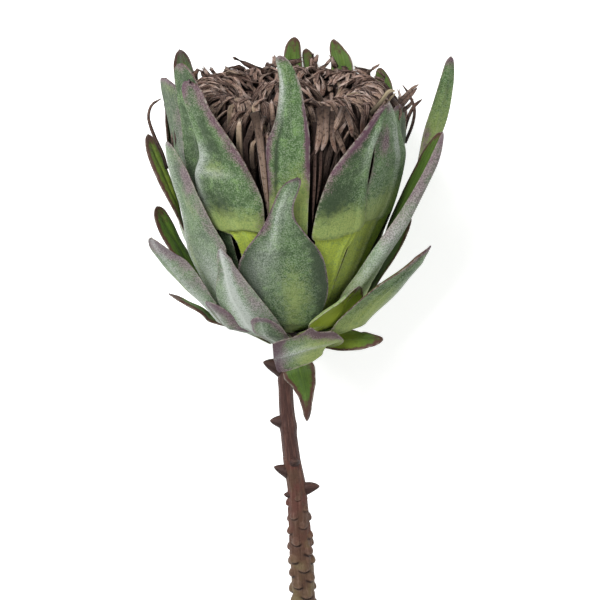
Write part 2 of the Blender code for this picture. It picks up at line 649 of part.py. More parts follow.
def build_bracts(collection, parent):
    """Every bract as an object of its own."""
    for name, (layer, stations) in FRONT_BRACTS.items():
        sheet_object(name, wrapped_blade(layer, stations), GREY_GREEN, collection, parent)
    for name, (stations, outward) in BENT_BRACTS.items():
        sheet_object(name, bent_blade(stations, outward), GREY_GREEN, collection, parent)
    for name, (azimuth, layer, tip, width, flare) in BACK_BRACTS.items():
        stations = back_stations(azimuth, layer, tip, width, flare)
        finish = INNER_GREEN if layer < INNER_LAYERS else GREY_GREEN
        sheet_object(name, wrapped_blade(layer, stations), finish, collection, parent)
    for name, azimuth in RESTING_BRACTS.items():
        stations = [(h, azimuth, w, lift) for h, w, lift in RESTING_STATIONS]
        grid = press_on_table(wrapped_blade(RESTING_LAYER, stations, RESTING_COLUMNS, RESTING_ROWS))
        sheet_object(name, grid, GREY_GREEN, collection, parent)


def build_protea():
    """Model every piece upright under one empty, and lay the flower down."""
    clear_scene()
    collection = new_collection(COLLECTION)
    bloom = bpy.data.objects.new("bloom_axis", None)
    collection.objects.link(bloom)
    bloom.matrix_world = laid_down()
    build_stem(collection, bloom)
    build_florets(collection, bloom)
    build_bracts(collection, bloom)


build_protea()
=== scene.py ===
"""The looks of a cut protea bloom that lies on a table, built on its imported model.

Every piece is worked out upright about the bloom's own axis, in millimetres: +Z runs up the
bloom, azimuth 0 is the viewed front and +90 its right side. Lay then puts it in metres where the
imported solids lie, with the head towards +Y and the viewed front facing up.
"""

import logging
import math
from dataclasses import dataclass
from enum import Enum
from functools import cached_property, partial

import bpy
import numpy as np
from mathutils import Matrix, Vector

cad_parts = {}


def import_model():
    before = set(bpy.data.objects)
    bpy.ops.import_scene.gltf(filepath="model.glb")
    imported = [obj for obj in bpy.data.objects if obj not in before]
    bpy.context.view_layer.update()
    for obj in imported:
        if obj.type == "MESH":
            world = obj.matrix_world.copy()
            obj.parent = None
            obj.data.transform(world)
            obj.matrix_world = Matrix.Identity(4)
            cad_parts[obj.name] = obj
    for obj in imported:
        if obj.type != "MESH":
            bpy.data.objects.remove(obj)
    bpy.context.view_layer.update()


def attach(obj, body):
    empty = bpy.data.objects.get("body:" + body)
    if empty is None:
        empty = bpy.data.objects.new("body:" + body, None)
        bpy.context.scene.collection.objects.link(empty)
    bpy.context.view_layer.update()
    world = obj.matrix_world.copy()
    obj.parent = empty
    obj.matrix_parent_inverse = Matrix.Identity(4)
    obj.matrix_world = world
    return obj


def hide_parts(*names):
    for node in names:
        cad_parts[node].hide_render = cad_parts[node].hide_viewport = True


LOG = logging.getLogger("protea")
MM = 0.001
BODY = "root"
Array = np.ndarray
Colour = tuple[float, float, float, float]
Socket = bpy.types.NodeSocket
Material = bpy.types.Material


class Slot(Enum):
    """The record's material slots."""

    STEM = "stem"
    FLORETS = "florets"
    OUTER = "bract_outer"
    INNER = "bract_inner"


class Wash(Enum):
    """What a soft patch of colour on a bract is: the channel that it adds to."""

    PURPLE = 0
    # silver felt, partly a painted highlight on lit faces and edges
    SILVER = 1
    LIME = 2
    # darkening of whole bracts and of patches, partly painted shade, with the painted shadow under the hem
    DARK = 3


class Side(Enum):
    """A margin of a blade, by the sign of the share across it."""

    LEFT = -1
    RIGHT = 1


def colour(code: str) -> Colour:
    """Linear red, green, blue and alpha from a six-digit screen colour, by the usual screen curve."""
    parts = [int(code[k:k + 2], 16) / 255.0 for k in (0, 2, 4)]
    return (*(c / 12.92 if c <= 0.04045 else ((c + 0.055) / 1.055) ** 2.4 for c in parts), 1.0)


def smooth(value: Array, low: float, high: float) -> Array:
    """An S-shaped step: 0 up to low, 1 from high on, a cubic between."""
    share = np.clip((value - low) / (high - low), 0.0, 1.0)
    return share * share * (3.0 - 2.0 * share)


def bell(value: Array, reach: float) -> Array:
    """A bell: 1 where the value is 0, falling away over reach as the exponential of its square."""
    return np.exp(-(value / reach) ** 2)


def unit(vectors: Array) -> Array:
    """Vectors scaled to length 1."""
    return vectors / np.maximum(np.linalg.norm(vectors, axis=-1, keepdims=True), 1e-12)


def around(radius: Array | float, azimuth: Array, height: Array | float) -> Array:
    """Upright points from radius, azimuth in degrees (0 at the front) and height."""
    radius, turn, height = np.broadcast_arrays(radius, np.radians(azimuth), height)
    return np.stack([radius * np.sin(turn), -radius * np.cos(turn), height], axis=-1)


def ring_turns(steps: int) -> Array:
    """Azimuths of evenly spaced points in a ring, in degrees."""
    return np.linspace(0.0, 360.0, steps, endpoint=False)


def belts(order: Array) -> Array:
    """Faces between neighbouring closed rings of point numbers, with rings and steps as last axes."""
    ahead = np.roll(order, -1, axis=-1)
    return np.stack([order[..., :-1, :], ahead[..., :-1, :],
                     ahead[..., 1:, :], order[..., 1:, :]], -1).reshape(-1, 4)


def closed_tube(rings: int, steps: int) -> list:
    """Faces of a tube of rings with a fan of faces to one more point at either end.

    Args:
        rings: how many rings, whose points are numbered first.
        steps: points in a ring.
    Returns:
        The faces: the point at the first end comes next in number, then the one at the last end.
    """
    order = np.arange(rings * steps).reshape(rings, steps)
    first, last = rings * steps, rings * steps + 1
    faces = belts(order).tolist()
    faces += [[first, int(b), int(a)] for a, b in zip(order[0], np.roll(order[0], -1))]
    return faces + [[last, int(a), int(b)] for a, b in zip(order[-1], np.roll(order[-1], -1))]


def curve(corners: list[Array], t: Array) -> Array:
    """The cubic from the second of four knots to the third, sloped as their neighbours lie, at t."""
    p0, p1, p2, p3 = corners
    return p1 + 0.5 * t * (p2 - p0 + t * (2 * p0 - 5 * p1 + 4 * p2 - p3 + t * (3 * p1 - p0 - 3 * p2 + p3)))


def along_stations(stations: list, shares: Array) -> Array:
    """Rows of a smooth curve through stations, at shares of the length in their first three columns.

    Args:
        stations: rows of numbers, all of one length.
        shares: where the rows are wanted, from 0 at the first station to 1 at the last.
    Returns:
        One row of numbers for each share.
    """
    knots = np.array(stations, dtype=float)
    padded = np.vstack([2 * knots[0] - knots[1], knots, 2 * knots[-1] - knots[-2]])
    steps = np.linalg.norm(np.diff(knots[:, :3], axis=0), axis=1)
    length = np.concatenate([[0.0], np.cumsum(steps)])
    wanted = length[-1] * shares
    part = np.clip(np.searchsorted(length, wanted, side="right") - 1, 0, len(steps) - 1)
    return curve([padded[part + k] for k in range(4)], ((wanted - length[part]) / steps[part])[:, None])


def through_knots(knots: Array, count: int) -> Array:
    """Smooth paths through knots, many at once, with points evenly spaced between the knots.

    Args:
        knots: array of paths, knots and coordinates.
        count: points wanted on each path.
    Returns:
        Array of paths, points and coordinates.
    """
    ends = 2 * knots[:, :1] - knots[:, 1:2], 2 * knots[:, -1:] - knots[:, -2:-1]
    padded = np.concatenate([ends[0], knots, ends[1]], axis=1)
    where = np.linspace(0.0, knots.shape[1] - 1.0, count)
    part = np.minimum(where.astype(int), knots.shape[1] - 2)
    return curve([padded[:, part + k] for k in range(4)], (where - part)[None, :, None])


def still_to_go(steps: Array) -> Array:
    """Length left from every row to the last one, from the steps between them, as a column."""
    return np.concatenate([np.cumsum(steps[::-1])[::-1], [0.0]])[:, None]


@dataclass(frozen=True)
class Lay:
    """How the upright bloom lies: its axis rises towards the head, and its foot is at foot."""

    angle: float = 9.3
    foot: tuple[float, float, float] = (-4.7, 44.76, 39.21)

    def turn(self) -> Array:
        """The rotation from upright to lying, as a matrix."""
        return np.array(Matrix.Rotation(math.radians(self.angle - 90.0), 3, "X"))

    def world(self, points: Array) -> Array:
        """Upright millimetres to the table's millimetres."""
        return points @ self.turn().T + np.array(self.foot)

    def upright(self, points: Array) -> Array:
        """The table's millimetres to upright millimetres."""
        return (points - np.array(self.foot)) @ self.turn()

    def kept_up(self, points: Array, least: float) -> Array:
        """Upright points, those that would lie lower moved up to the least height above the table."""
        return self.upright(np.maximum(self.world(points), [-np.inf, -np.inf, least]))

    def direction(self, vector: tuple[float, float, float]) -> Vector:
        """An upright direction as it lies."""
        return Vector((self.turn() @ np.array(vector)).tolist())


@dataclass(frozen=True)
class Cup:
    """The goblet that the bracts wrap round: a steep swell from the neck, then a slight lean."""

    height: float = 125.0
    neck: float = 5.0
    swell: float = 40.0
    lean: float = 3.0
    power: float = 2.6

    def radius(self, height: Array) -> Array:
        """Radius at a height."""
        rest = np.clip(1.0 - height / self.height, 0.0, None)
        return self.neck + self.swell * (1.0 - rest ** self.power) + self.lean * height / self.height

    def slope(self, height: Array) -> Array:
        """Growth of the radius with height."""
        rest = np.clip(1.0 - height / self.height, 0.0, None) ** (self.power - 1.0)
        return (self.swell * self.power * rest + self.lean) / self.height

    def off(self, height: Array, out: Array) -> tuple[Array, Array]:
        """Radius and height of a point that stands off the goblet, square to it."""
        slant = np.arctan(self.slope(height))
        return self.radius(height) + out * np.cos(slant), height - out * np.sin(slant)


@dataclass(frozen=True)
class Layers:
    """How the bracts lie over one another: layer 0 is next to the head, the last one outermost.

    The outermost layer grows out lowest, and each one further in a step higher. A bract lies
    against the head at its root, and moves off by a gap for every layer whose root it has passed.
    """

    last: int = 7
    lowest: float = 1.5
    step: float = 2.6
    against: float = 0.95
    gap: float = 1.9

    def root(self, layer: int) -> float:
        """Height at which a layer grows out."""
        return self.lowest + self.step * (self.last - layer)

    def seat(self, layer: int, height: Array) -> Array:
        """How far off the goblet a layer lies at a height."""
        return self.against + self.gap * np.clip((height - self.root(layer)) / self.step, 0.0, layer)


LAY = Lay()
CUP = Cup()
LAYERS = Layers()


@dataclass
class Shape:
    """A mesh being put together: upright points, faces, and colours and a map for the points."""

    points: Array
    faces: list
    tints: dict[str, Array]
    chart: Array

    @staticmethod
    def merged(shapes: list["Shape"]) -> "Shape":
        """Several shapes as one.

        Args:
            shapes: the shapes, all with the same tints.
        Returns:
            The one that holds them all.
        """
        starts = np.cumsum([0] + [len(s.points) for s in shapes[:-1]]).tolist()
        faces = [[k + start for k in face] for s, start in zip(shapes, starts) for face in s.faces]
        tints = {key: np.vstack([s.tints[key] for s in shapes]) for key in shapes[0].tints}
        return Shape(np.vstack([s.points for s in shapes]), faces, tints,
                     np.vstack([s.chart for s in shapes]))

    def volume(self) -> float:
        """The signed volume: a sum over a fan of each face, for all faces of one size at once.

        Returns:
            Cubic millimetres, above 0 where the faces point outwards.
        """
        total = 0.0
        sizes = np.array([len(face) for face in self.faces])
        for size in np.unique(sizes):
            corners = self.points[np.array([f for f in self.faces if len(f) == size])]
            for k in range(1, size - 1):
                crossed = np.cross(corners[:, k], corners[:, k + 1])
                total += float(np.einsum("ij,ij->i", corners[:, 0], crossed).sum()) / 6.0
        return total

    def place(self, name: str, material: Material, slot: Slot, node: str) -> None:
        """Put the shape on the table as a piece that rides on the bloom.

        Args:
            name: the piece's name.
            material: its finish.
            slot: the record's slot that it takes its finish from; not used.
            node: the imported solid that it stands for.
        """
        if self.volume() < 0.0:
            self.faces = [face[::-1] for face in self.faces]
        mesh = bpy.data.meshes.new(name)
        mesh.from_pydata((LAY.world(self.points) * MM).tolist(), [], self.faces)
        for key, values in self.tints.items():
            layer = mesh.attributes.new(key, "FLOAT_COLOR", "POINT")
            layer.data.foreach_set("color", values.astype(np.float32).ravel())
        corner = np.zeros(len(mesh.loops), dtype=np.int32)
        mesh.loops.foreach_get("vertex_index", corner)
        layer = mesh.uv_layers.new(name="chart")
        layer.data.foreach_set("uv", self.chart[corner].astype(np.float32).ravel())
        mesh.shade_smooth()
        mesh.materials.append(material)
        piece = bpy.data.objects.new(name, mesh)
        bpy.context.scene.collection.objects.link(piece)
        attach(piece, BODY)
        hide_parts(node)
        LOG.info("%s: %d faces", name, len(self.faces))


class Graph:
    """Wires the nodes of one material."""

    def __init__(self, name: str) -> None:
        """Start a material with its Principled shader.

        Args:
            name: the material's name.
        """
        self.material = bpy.data.materials.new(name)
        self.material.use_nodes = True
        self.tree = self.material.node_tree
        self.shader = self.tree.nodes["Principled BSDF"]
        self.place = self.node("ShaderNodeTexCoord", {}, "Object")

    def feed(self, socket: Socket, value: object) -> None:
        """Link an output to an input, or set the input to a plain value.

        Args:
            socket: the input.
            value: an output, a number or a colour.
        """
        if isinstance(value, Socket):
            self.tree.links.new(value, socket)
        else:
            socket.default_value = value

    def node(self, kind: str, inputs: dict, output: str | int = 0, **settings: object) -> Socket:
        """A new node, set, fed and read.

        Args:
            kind: its kind.
            inputs: outputs, numbers or colours for its inputs, by name or number.
            output: the output that is wanted.
            settings: its own settings.
        Returns:
            The output.
        """
        made = self.tree.nodes.new(kind)
        for key, value in settings.items():
            setattr(made, key, value)
        for key, value in inputs.items():
            self.feed(made.inputs[key], value)
        return made.outputs[output]

    def attribute(self, name: str) -> tuple[Socket, ...]:
        """The four channels of a colour attribute."""
        read = self.node("ShaderNodeAttribute", {}, "Color", attribute_name=name)
        return (*self.node("ShaderNodeSeparateColor", {0: read}).node.outputs, read.node.outputs["Alpha"])

    def chart(self, across: float, along: float) -> Socket:
        """The piece's own map, stretched by a factor across the piece and one along it."""
        own = self.node("ShaderNodeUVMap", {}, uv_map="chart")
        return self.node("ShaderNodeMapping", {"Vector": own, "Scale": (across, along, 1.0)})

    def noise(self, scale: float, detail: float, rough: float, where: Socket | None = None) -> Socket:
        """Fractal noise from 0 to 1, in the object's own space unless a place is given."""
        sizes = {"Scale": scale, "Detail": detail, "Roughness": rough}
        return self.node("ShaderNodeTexNoise", {"Vector": where or self.place, **sizes}, "Fac")

    def math(self, kind: str, *values: object) -> Socket:
        """A sum or another operation on numbers."""
        return self.node("ShaderNodeMath", dict(enumerate(values)), operation=kind)

    def weighted(self, first: Socket, share: float, second: Socket, other: float) -> Socket:
        """The sum of two values, each times its own weight."""
        return self.math("ADD", self.math("MULTIPLY", first, share), self.math("MULTIPLY", second, other))

    def swing(self, value: Socket, factor: float) -> Socket:
        """How far a value is from a half, times a factor."""
        return self.math("MULTIPLY", self.math("SUBTRACT", value, 0.5), factor)

    def spread(self, value: Socket, low: float, high: float, start: float = 0.0,
               stop: float = 1.0) -> Socket:
        """A value's range from low to high, in either order, made start to stop, smoothly and clamped."""
        ends = {"From Min": low, "From Max": high, "To Min": start, "To Max": stop, "Value": value}
        return self.node("ShaderNodeMapRange", ends, interpolation_type="SMOOTHSTEP")

    def mix(self, share: object, first: object, second: object) -> Socket:
        """A mix of two colours, where share is how much of the second shows."""
        return self.node("ShaderNodeMix", {"Factor": share, 6: first, 7: second}, 2, data_type="RGBA")

    def cover(self, base: object, tone: object, value: Socket, low: float, high: float,
              most: float = 1.0) -> Socket:
        """A colour covered by a tone where a value has come from low to high, by most at most."""
        return self.mix(self.spread(value, low, high, 0.0, most), base, tone)

    def shade(self, inputs: dict[str, object]) -> None:
        """Set or link inputs of the material's shader, by name."""
        for key, value in inputs.items():
            self.feed(self.shader.inputs[key], value)

    def finish(self, base: Socket, roughness: object, gloss: float, relief: Socket,
               depth: float) -> Material:
        """Close the material.

        Args:
            base: its colour.
            roughness: a number or a socket.
            gloss: how strong its highlights are, where 0.5 is ordinary.
            relief: height, from 0 to 1.
            depth: how deep the relief is, in metres.
        Returns:
            The material.
        """
        bump = self.node("ShaderNodeBump", {"Strength": 1.0, "Distance": depth, "Height": relief}, "Normal")
        self.shade({"Base Color": base, "Roughness": roughness, "Specular IOR Level": gloss, "Normal": bump})
        return self.material


class Weave:
    """The felt's patterns, from fine flecks to broad clouds, and what a blade says of its points."""

    def __init__(self, g: Graph, finish: "FeltFinish") -> None:
        """Make the patterns, where a fleck is mostly grain, and read the two attributes.

        Args:
            g: the material being wired.
            finish: the felt, for the patterns' scales.
        """
        self.purple, self.silver, self.lime, self.dark = g.attribute("tint")
        self.inside, self.brown, self.felt, self.rim = g.attribute("state")
        grain = g.noise(finish.grain_scale, 1.0, 0.5)
        self.clumps = g.noise(finish.clump_scale, 3.0, 0.6)
        self.cloud = g.noise(finish.cloud_scale, 3.0, 0.55)
        self.mottle = g.noise(finish.mottle_scale, 4.0, 0.65)
        self.veins = g.noise(1.0, 3.0, 0.6, g.chart(*finish.vein_stretch))
        self.fleck = g.weighted(grain, 0.82, self.clumps, 0.18)


@dataclass(frozen=True)
class FeltFinish:
    """Bracts: felted grey-green outside, smooth bright green inside, purple and brown margins.

    The tint attribute carries purple, silver, lime and dark: silver is partly a painted highlight,
    and dark is partly painted shade, with the painted shadow under the hem. The state attribute
    carries inside, brown, the felt that still covers the blade, and the pale rim.
    """

    deep: Colour = colour("40602f")
    green: Colour = colour("5c7b47")
    pale: Colour = colour("93a188")
    fresh: Colour = colour("7fa05f")
    # dark green for painted shade and for the dark flecks of the grain
    shade: Colour = colour("2a3b22")
    # silver felt, partly a painted highlight
    silver: Colour = colour("c4cac4")
    purple: Colour = colour("826b70")
    plum: Colour = colour("59374a")
    lime: Colour = colour("adbd3e")
    lime_pale: Colour = colour("97a563")
    inside: Colour = colour("5f7c2b")
    inside_deep: Colour = colour("3c561d")
    brown: Colour = colour("51342a")
    rim: Colour = colour("a8a396")

    grain_scale: float = 1900.0
    clump_scale: float = 500.0
    mottle_scale: float = 260.0
    cloud_scale: float = 90.0
    vein_stretch: tuple[float, float] = (26.0, 1.7)
    roughness: float = 0.82
    smoother_inside: float = 0.3
    sheen: float = 0.06
    sheen_roughness: float = 0.45
    gloss: float = 0.35
    depth: float = 0.00035

    def outside(self, g: Graph, w: Weave) -> Socket:
        """The outer face: greens, then dark, lime, purple and silver, all with broken edges.

        Args:
            g: the material being wired.
            w: the felt's patterns.
        Returns:
            The colour.
        """
        face = g.cover(self.green, self.deep, w.cloud, 0.35, 0.68)
        face = g.cover(face, self.shade, w.fleck, 0.50, 0.34, 0.4)
        face = g.cover(face, self.pale, w.fleck, 0.42, 0.66, 0.55)
        face = g.cover(face, self.pale, w.veins, 0.55, 0.80, 0.25)
        face = g.cover(face, self.deep, w.mottle, 0.48, 0.34, 0.4)
        face = g.cover(face, self.fresh, w.mottle, 0.54, 0.70, 0.4)
        # the dark wash, partly painted shade, with ragged edges
        uneven = g.math("ADD", g.math("SUBTRACT", w.mottle, 0.5), g.swing(w.fleck, 0.5))
        broken = g.math("ADD", w.dark, g.math("MULTIPLY", uneven, -1.5))
        face = g.cover(face, self.shade, broken, 0.0, 1.05, 0.85)
        bright = g.mix(g.math("MULTIPLY", w.felt, 0.8), self.lime, self.lime_pale)
        bright = g.cover(bright, self.green, w.veins, 0.40, 0.75, 0.3)
        bright = g.cover(bright, self.green, w.clumps, 0.48, 0.66, 0.4)
        bright = g.cover(bright, self.green, w.fleck, 0.50, 0.35, 0.45)
        face = g.cover(face, bright, g.math("ADD", w.lime, g.swing(w.clumps, 1.1)), 0.1, 1.0, 0.9)
        # the strong dark wash, partly painted shade with the painted shadow under the hem, again over the
        # lime
        face = g.cover(face, self.shade, w.dark, 0.75, 1.3, 0.6)
        drift = g.math("ADD", w.purple, g.swing(w.cloud, 1.8))
        bloom = g.math("ADD", drift, g.math("ADD", g.swing(w.fleck, 1.3), g.swing(w.mottle, 1.2)))
        plums = g.cover(self.plum, self.purple, w.fleck, 0.40, 0.62)
        plums = g.cover(plums, self.plum, w.purple, 0.75, 1.4)
        flush = g.math("MULTIPLY", g.spread(bloom, 0.15, 1.1, 0.0, 0.9), g.spread(w.purple, 0.03, 0.2))
        face = g.mix(flush, face, plums)
        # silver felt on the grain, partly a painted highlight
        silver_and_highlight = g.math("MULTIPLY", w.silver, g.spread(w.fleck, 0.34, 0.66, 0.4, 1.0))
        return g.mix(g.math("MINIMUM", silver_and_highlight, 0.85), face, self.silver)

    def within(self, g: Graph, w: Weave) -> Socket:
        """The inner face: bright green with veins, and dry brown margins torn along the veins.

        Args:
            g: the material being wired.
            w: the felt's patterns.
        Returns:
            The colour.
        """
        face = g.mix(g.spread(w.veins, 0.3, 0.75, 0.2, 0.9), self.inside_deep, self.inside)
        face = g.cover(face, self.inside_deep, w.clumps, 0.55, 0.7, 0.45)
        face = g.mix(g.math("MULTIPLY", w.lime, 0.8), face, self.lime)
        # the dark wash on the inner face, partly painted shade
        face = g.mix(g.math("MULTIPLY", w.dark, g.spread(w.mottle, 0.6, 0.4)), face, self.inside_deep)
        torn = g.math("ADD", g.math("SUBTRACT", w.veins, 0.5), g.math("SUBTRACT", w.clumps, 0.5))
        dry = g.math("ADD", w.brown, g.math("MULTIPLY", torn, 1.5))
        return g.cover(face, self.brown, dry, 0.2, 0.8)

    def material(self) -> Material:
        """The finish as a material.

        Returns:
            The material, with its two faces told apart by the state attribute.
        """
        g = Graph("bract_felt")
        w = Weave(g, self)
        base = g.mix(w.inside, self.outside(g, w), self.within(g, w))
        base = g.mix(g.math("MULTIPLY", w.rim, g.spread(w.clumps, 0.42, 0.62, 0.0, 0.55)), base, self.rim)
        rough = g.math("SUBTRACT", self.roughness, g.math("MULTIPLY", w.inside, self.smoother_inside))
        g.shade({"Sheen Weight": self.sheen, "Sheen Roughness": self.sheen_roughness})
        return g.finish(base, rough, self.gloss, g.weighted(w.fleck, 0.6, w.veins, 0.8), self.depth)


@dataclass(frozen=True)
class FibreFinish:
    """Florets: dark brown fibrous strips, some straw, with painted highlights on their ridges and reddish,
    frayed ends.

    The strand attribute carries a number drawn for each strip, the share along it, how near its
    edge a point is, and how straw-coloured the strip is. The share along and the edge carry painted
    shade: dark at the roots and along the strips' edges.
    """

    # dark between the fibres and in the grain, and the painted shade at the roots and edges
    gap: Colour = colour("20130f")
    brown: Colour = colour("68473a")
    grey: Colour = colour("b0937f")
    # the painted highlight on the fibre crests, and the pale ends of the strips
    pale: Colour = colour("e2cdc2")
    straw: Colour = colour("c9b795")
    rust: Colour = colour("8f5e49")

    fibre_stretch: tuple[float, float] = (12.0, 1.3)
    grain_scale: float = 800.0
    gloss: float = 0.3
    roughness: float = 0.78
    depth: float = 0.0011

    def material(self) -> Material:
        """The finish as a material.

        Returns:
            The material, with painted shade at the roots and edges, painted highlights on the
            fibre crests, and straw and rust towards the ends.
        """
        g = Graph("floret_fibre")
        lot, along, edge, straw = g.attribute("strand")
        fibres = g.noise(1.0, 3.0, 0.65, g.chart(*self.fibre_stretch))
        grain = g.noise(self.grain_scale, 3.0, 0.65)
        base = g.cover(self.gap, self.brown, fibres, 0.38, 0.6)
        base = g.cover(base, self.grey, g.weighted(lot, 0.5, grain, 0.7), 0.4, 0.9, 0.85)
        ends = g.math("MULTIPLY", g.spread(along, 0.78, 0.95), g.spread(lot, 0.15, 0.6, 0.0, 0.55))
        base = g.mix(ends, base, self.rust)
        # painted highlight on the fibre crests
        crest = g.math("MULTIPLY", g.spread(fibres, 0.5, 0.66), g.spread(lot, 0.1, 0.9, 0.3, 0.9))
        base = g.mix(crest, base, self.pale)
        tipped = g.math("MULTIPLY", g.spread(along, 0.84, 0.99), g.spread(lot, 0.35, 0.95, 0.1, 0.75))
        base = g.mix(tipped, base, self.pale)
        base = g.cover(base, self.gap, grain, 0.48, 0.34, 0.6)
        base = g.mix(straw, base, self.straw)
        # painted shade along the strips' edges, between the strips
        base = g.cover(base, self.gap, edge, 0.5, 0.95, 0.9)
        # painted shade towards the roots
        base = g.mix(g.spread(along, 0.45, 0.88, 0.88, 0.0), base, self.gap)
        return g.finish(base, self.roughness, self.gloss, g.weighted(fibres, 0.8, grain, 0.35), self.depth)


@dataclass(frozen=True)
class BarkFinish:
    """Stem: smooth red-brown above, bark with olive lights and dark scars below.

    The bark attribute carries the share of old bark, how dark a scar is, how pale a lip is, and
    a number that shifts the tone.
    """

    young: Colour = colour("412823")
    young_lit: Colour = colour("604138")
    old: Colour = colour("503729")
    olive: Colour = colour("66583b")
    red: Colour = colour("57332a")
    scar: Colour = colour("2b1a16")
    lip: Colour = colour("85695a")

    ridge_stretch: tuple[float, float] = (14.0, 3.0)
    grain_scale: float = 900.0
    cloud_scale: float = 140.0
    gloss: float = 0.35
    roughness: float = 0.66
    depth: float = 0.0005

    def material(self) -> Material:
        """The finish as a material.

        Returns:
            The material, young or old by the bark attribute.
        """
        g = Graph("stem_bark")
        age, scar, lip, tone = g.attribute("bark")
        ridges = g.noise(1.0, 4.0, 0.6, g.chart(*self.ridge_stretch))
        grain = g.noise(self.grain_scale, 3.0, 0.6)
        cloud = g.noise(self.cloud_scale, 3.0, 0.5)
        young = g.cover(self.young, self.young_lit, ridges, 0.4, 0.7)
        old = g.cover(self.old, self.red, cloud, 0.4, 0.62)
        old = g.cover(old, self.olive, g.math("ADD", cloud, tone), 0.55, 0.95)
        old = g.cover(old, self.lip, ridges, 0.5, 0.75, 0.5)
        base = g.mix(age, young, old)
        base = g.mix(g.math("MULTIPLY", lip, 0.75), base, self.lip)
        base = g.mix(g.math("MINIMUM", scar, 0.95), base, self.scar)
        base = g.cover(base, self.scar, grain, 0.55, 0.8, 0.4)
        return g.finish(base, self.roughness, self.gloss, g.weighted(ridges, 0.8, grain, 0.5), self.depth)


@dataclass(frozen=True)
class Patch:
    """A soft patch of colour on a blade: where along and across it, how large, how strong."""

    wash: Wash
    along: float
    across: float
    long: float
    wide: float
    strength: float


@dataclass(frozen=True)
class Curl:
    """A margin that turns inwards, or outwards where turn is below 0.

    The turn, in degrees, grows from start across the blade, and from low to high along it.
    """

    side: Side
    start: float
    turn: float
    low: float = 0.2
    high: float = 0.5


@dataclass(frozen=True)
class Tooth:
    """A corner that stands out of a margin, or a notch where size is below 0, in millimetres."""

    side: Side
    along: float
    size: float
    spread: float


@dataclass(frozen=True)
class BladeLook:
    """How one bract is coloured and how its blade is worked.

    Left, right and tip are a strength of purple and how far in it reaches, in millimetres. Lime is
    where it ends and over what range, felt where the felt begins and hem how that edge slants and
    bows across, all as shares of the blade's length. Skirt is how far the felted part stands out
    past the base on the left and on the right. Rib, wave, dent, roll and ragged are sizes in
    millimetres, point is how long the tip is drawn out, and brown how far the brown margin
    reaches. Swapped turns the inner colours to the outside.
    """

    left: tuple[float, float] = (0.2, 1.2)
    right: tuple[float, float] = (0.3, 1.8)
    tip: tuple[float, float] = (0.6, 5.0)
    lime: tuple[float, float] = (0.18, 0.16)
    # silver felt over the blade, partly a painted highlight
    silver: float = 0.25
    felt: float = 0.0
    rib: float = 0.7
    rib_at: float = 0.0
    wave: float = 0.45
    dent: float = 0.7
    roll: float = 0.5
    point: float = 1.3
    ragged: float = 0.3
    hem: tuple[float, float] = (0.0, 0.0)
    skirt: tuple[float, float] = (0.0, 0.0)
    # darkening of the whole blade, partly painted shade
    dark: float = 0.0
    swapped: bool = False
    brown: float = 1.0
    patches: tuple[Patch, ...] = ()
    curls: tuple[Curl, ...] = ()
    teeth: tuple[Tooth, ...] = ()


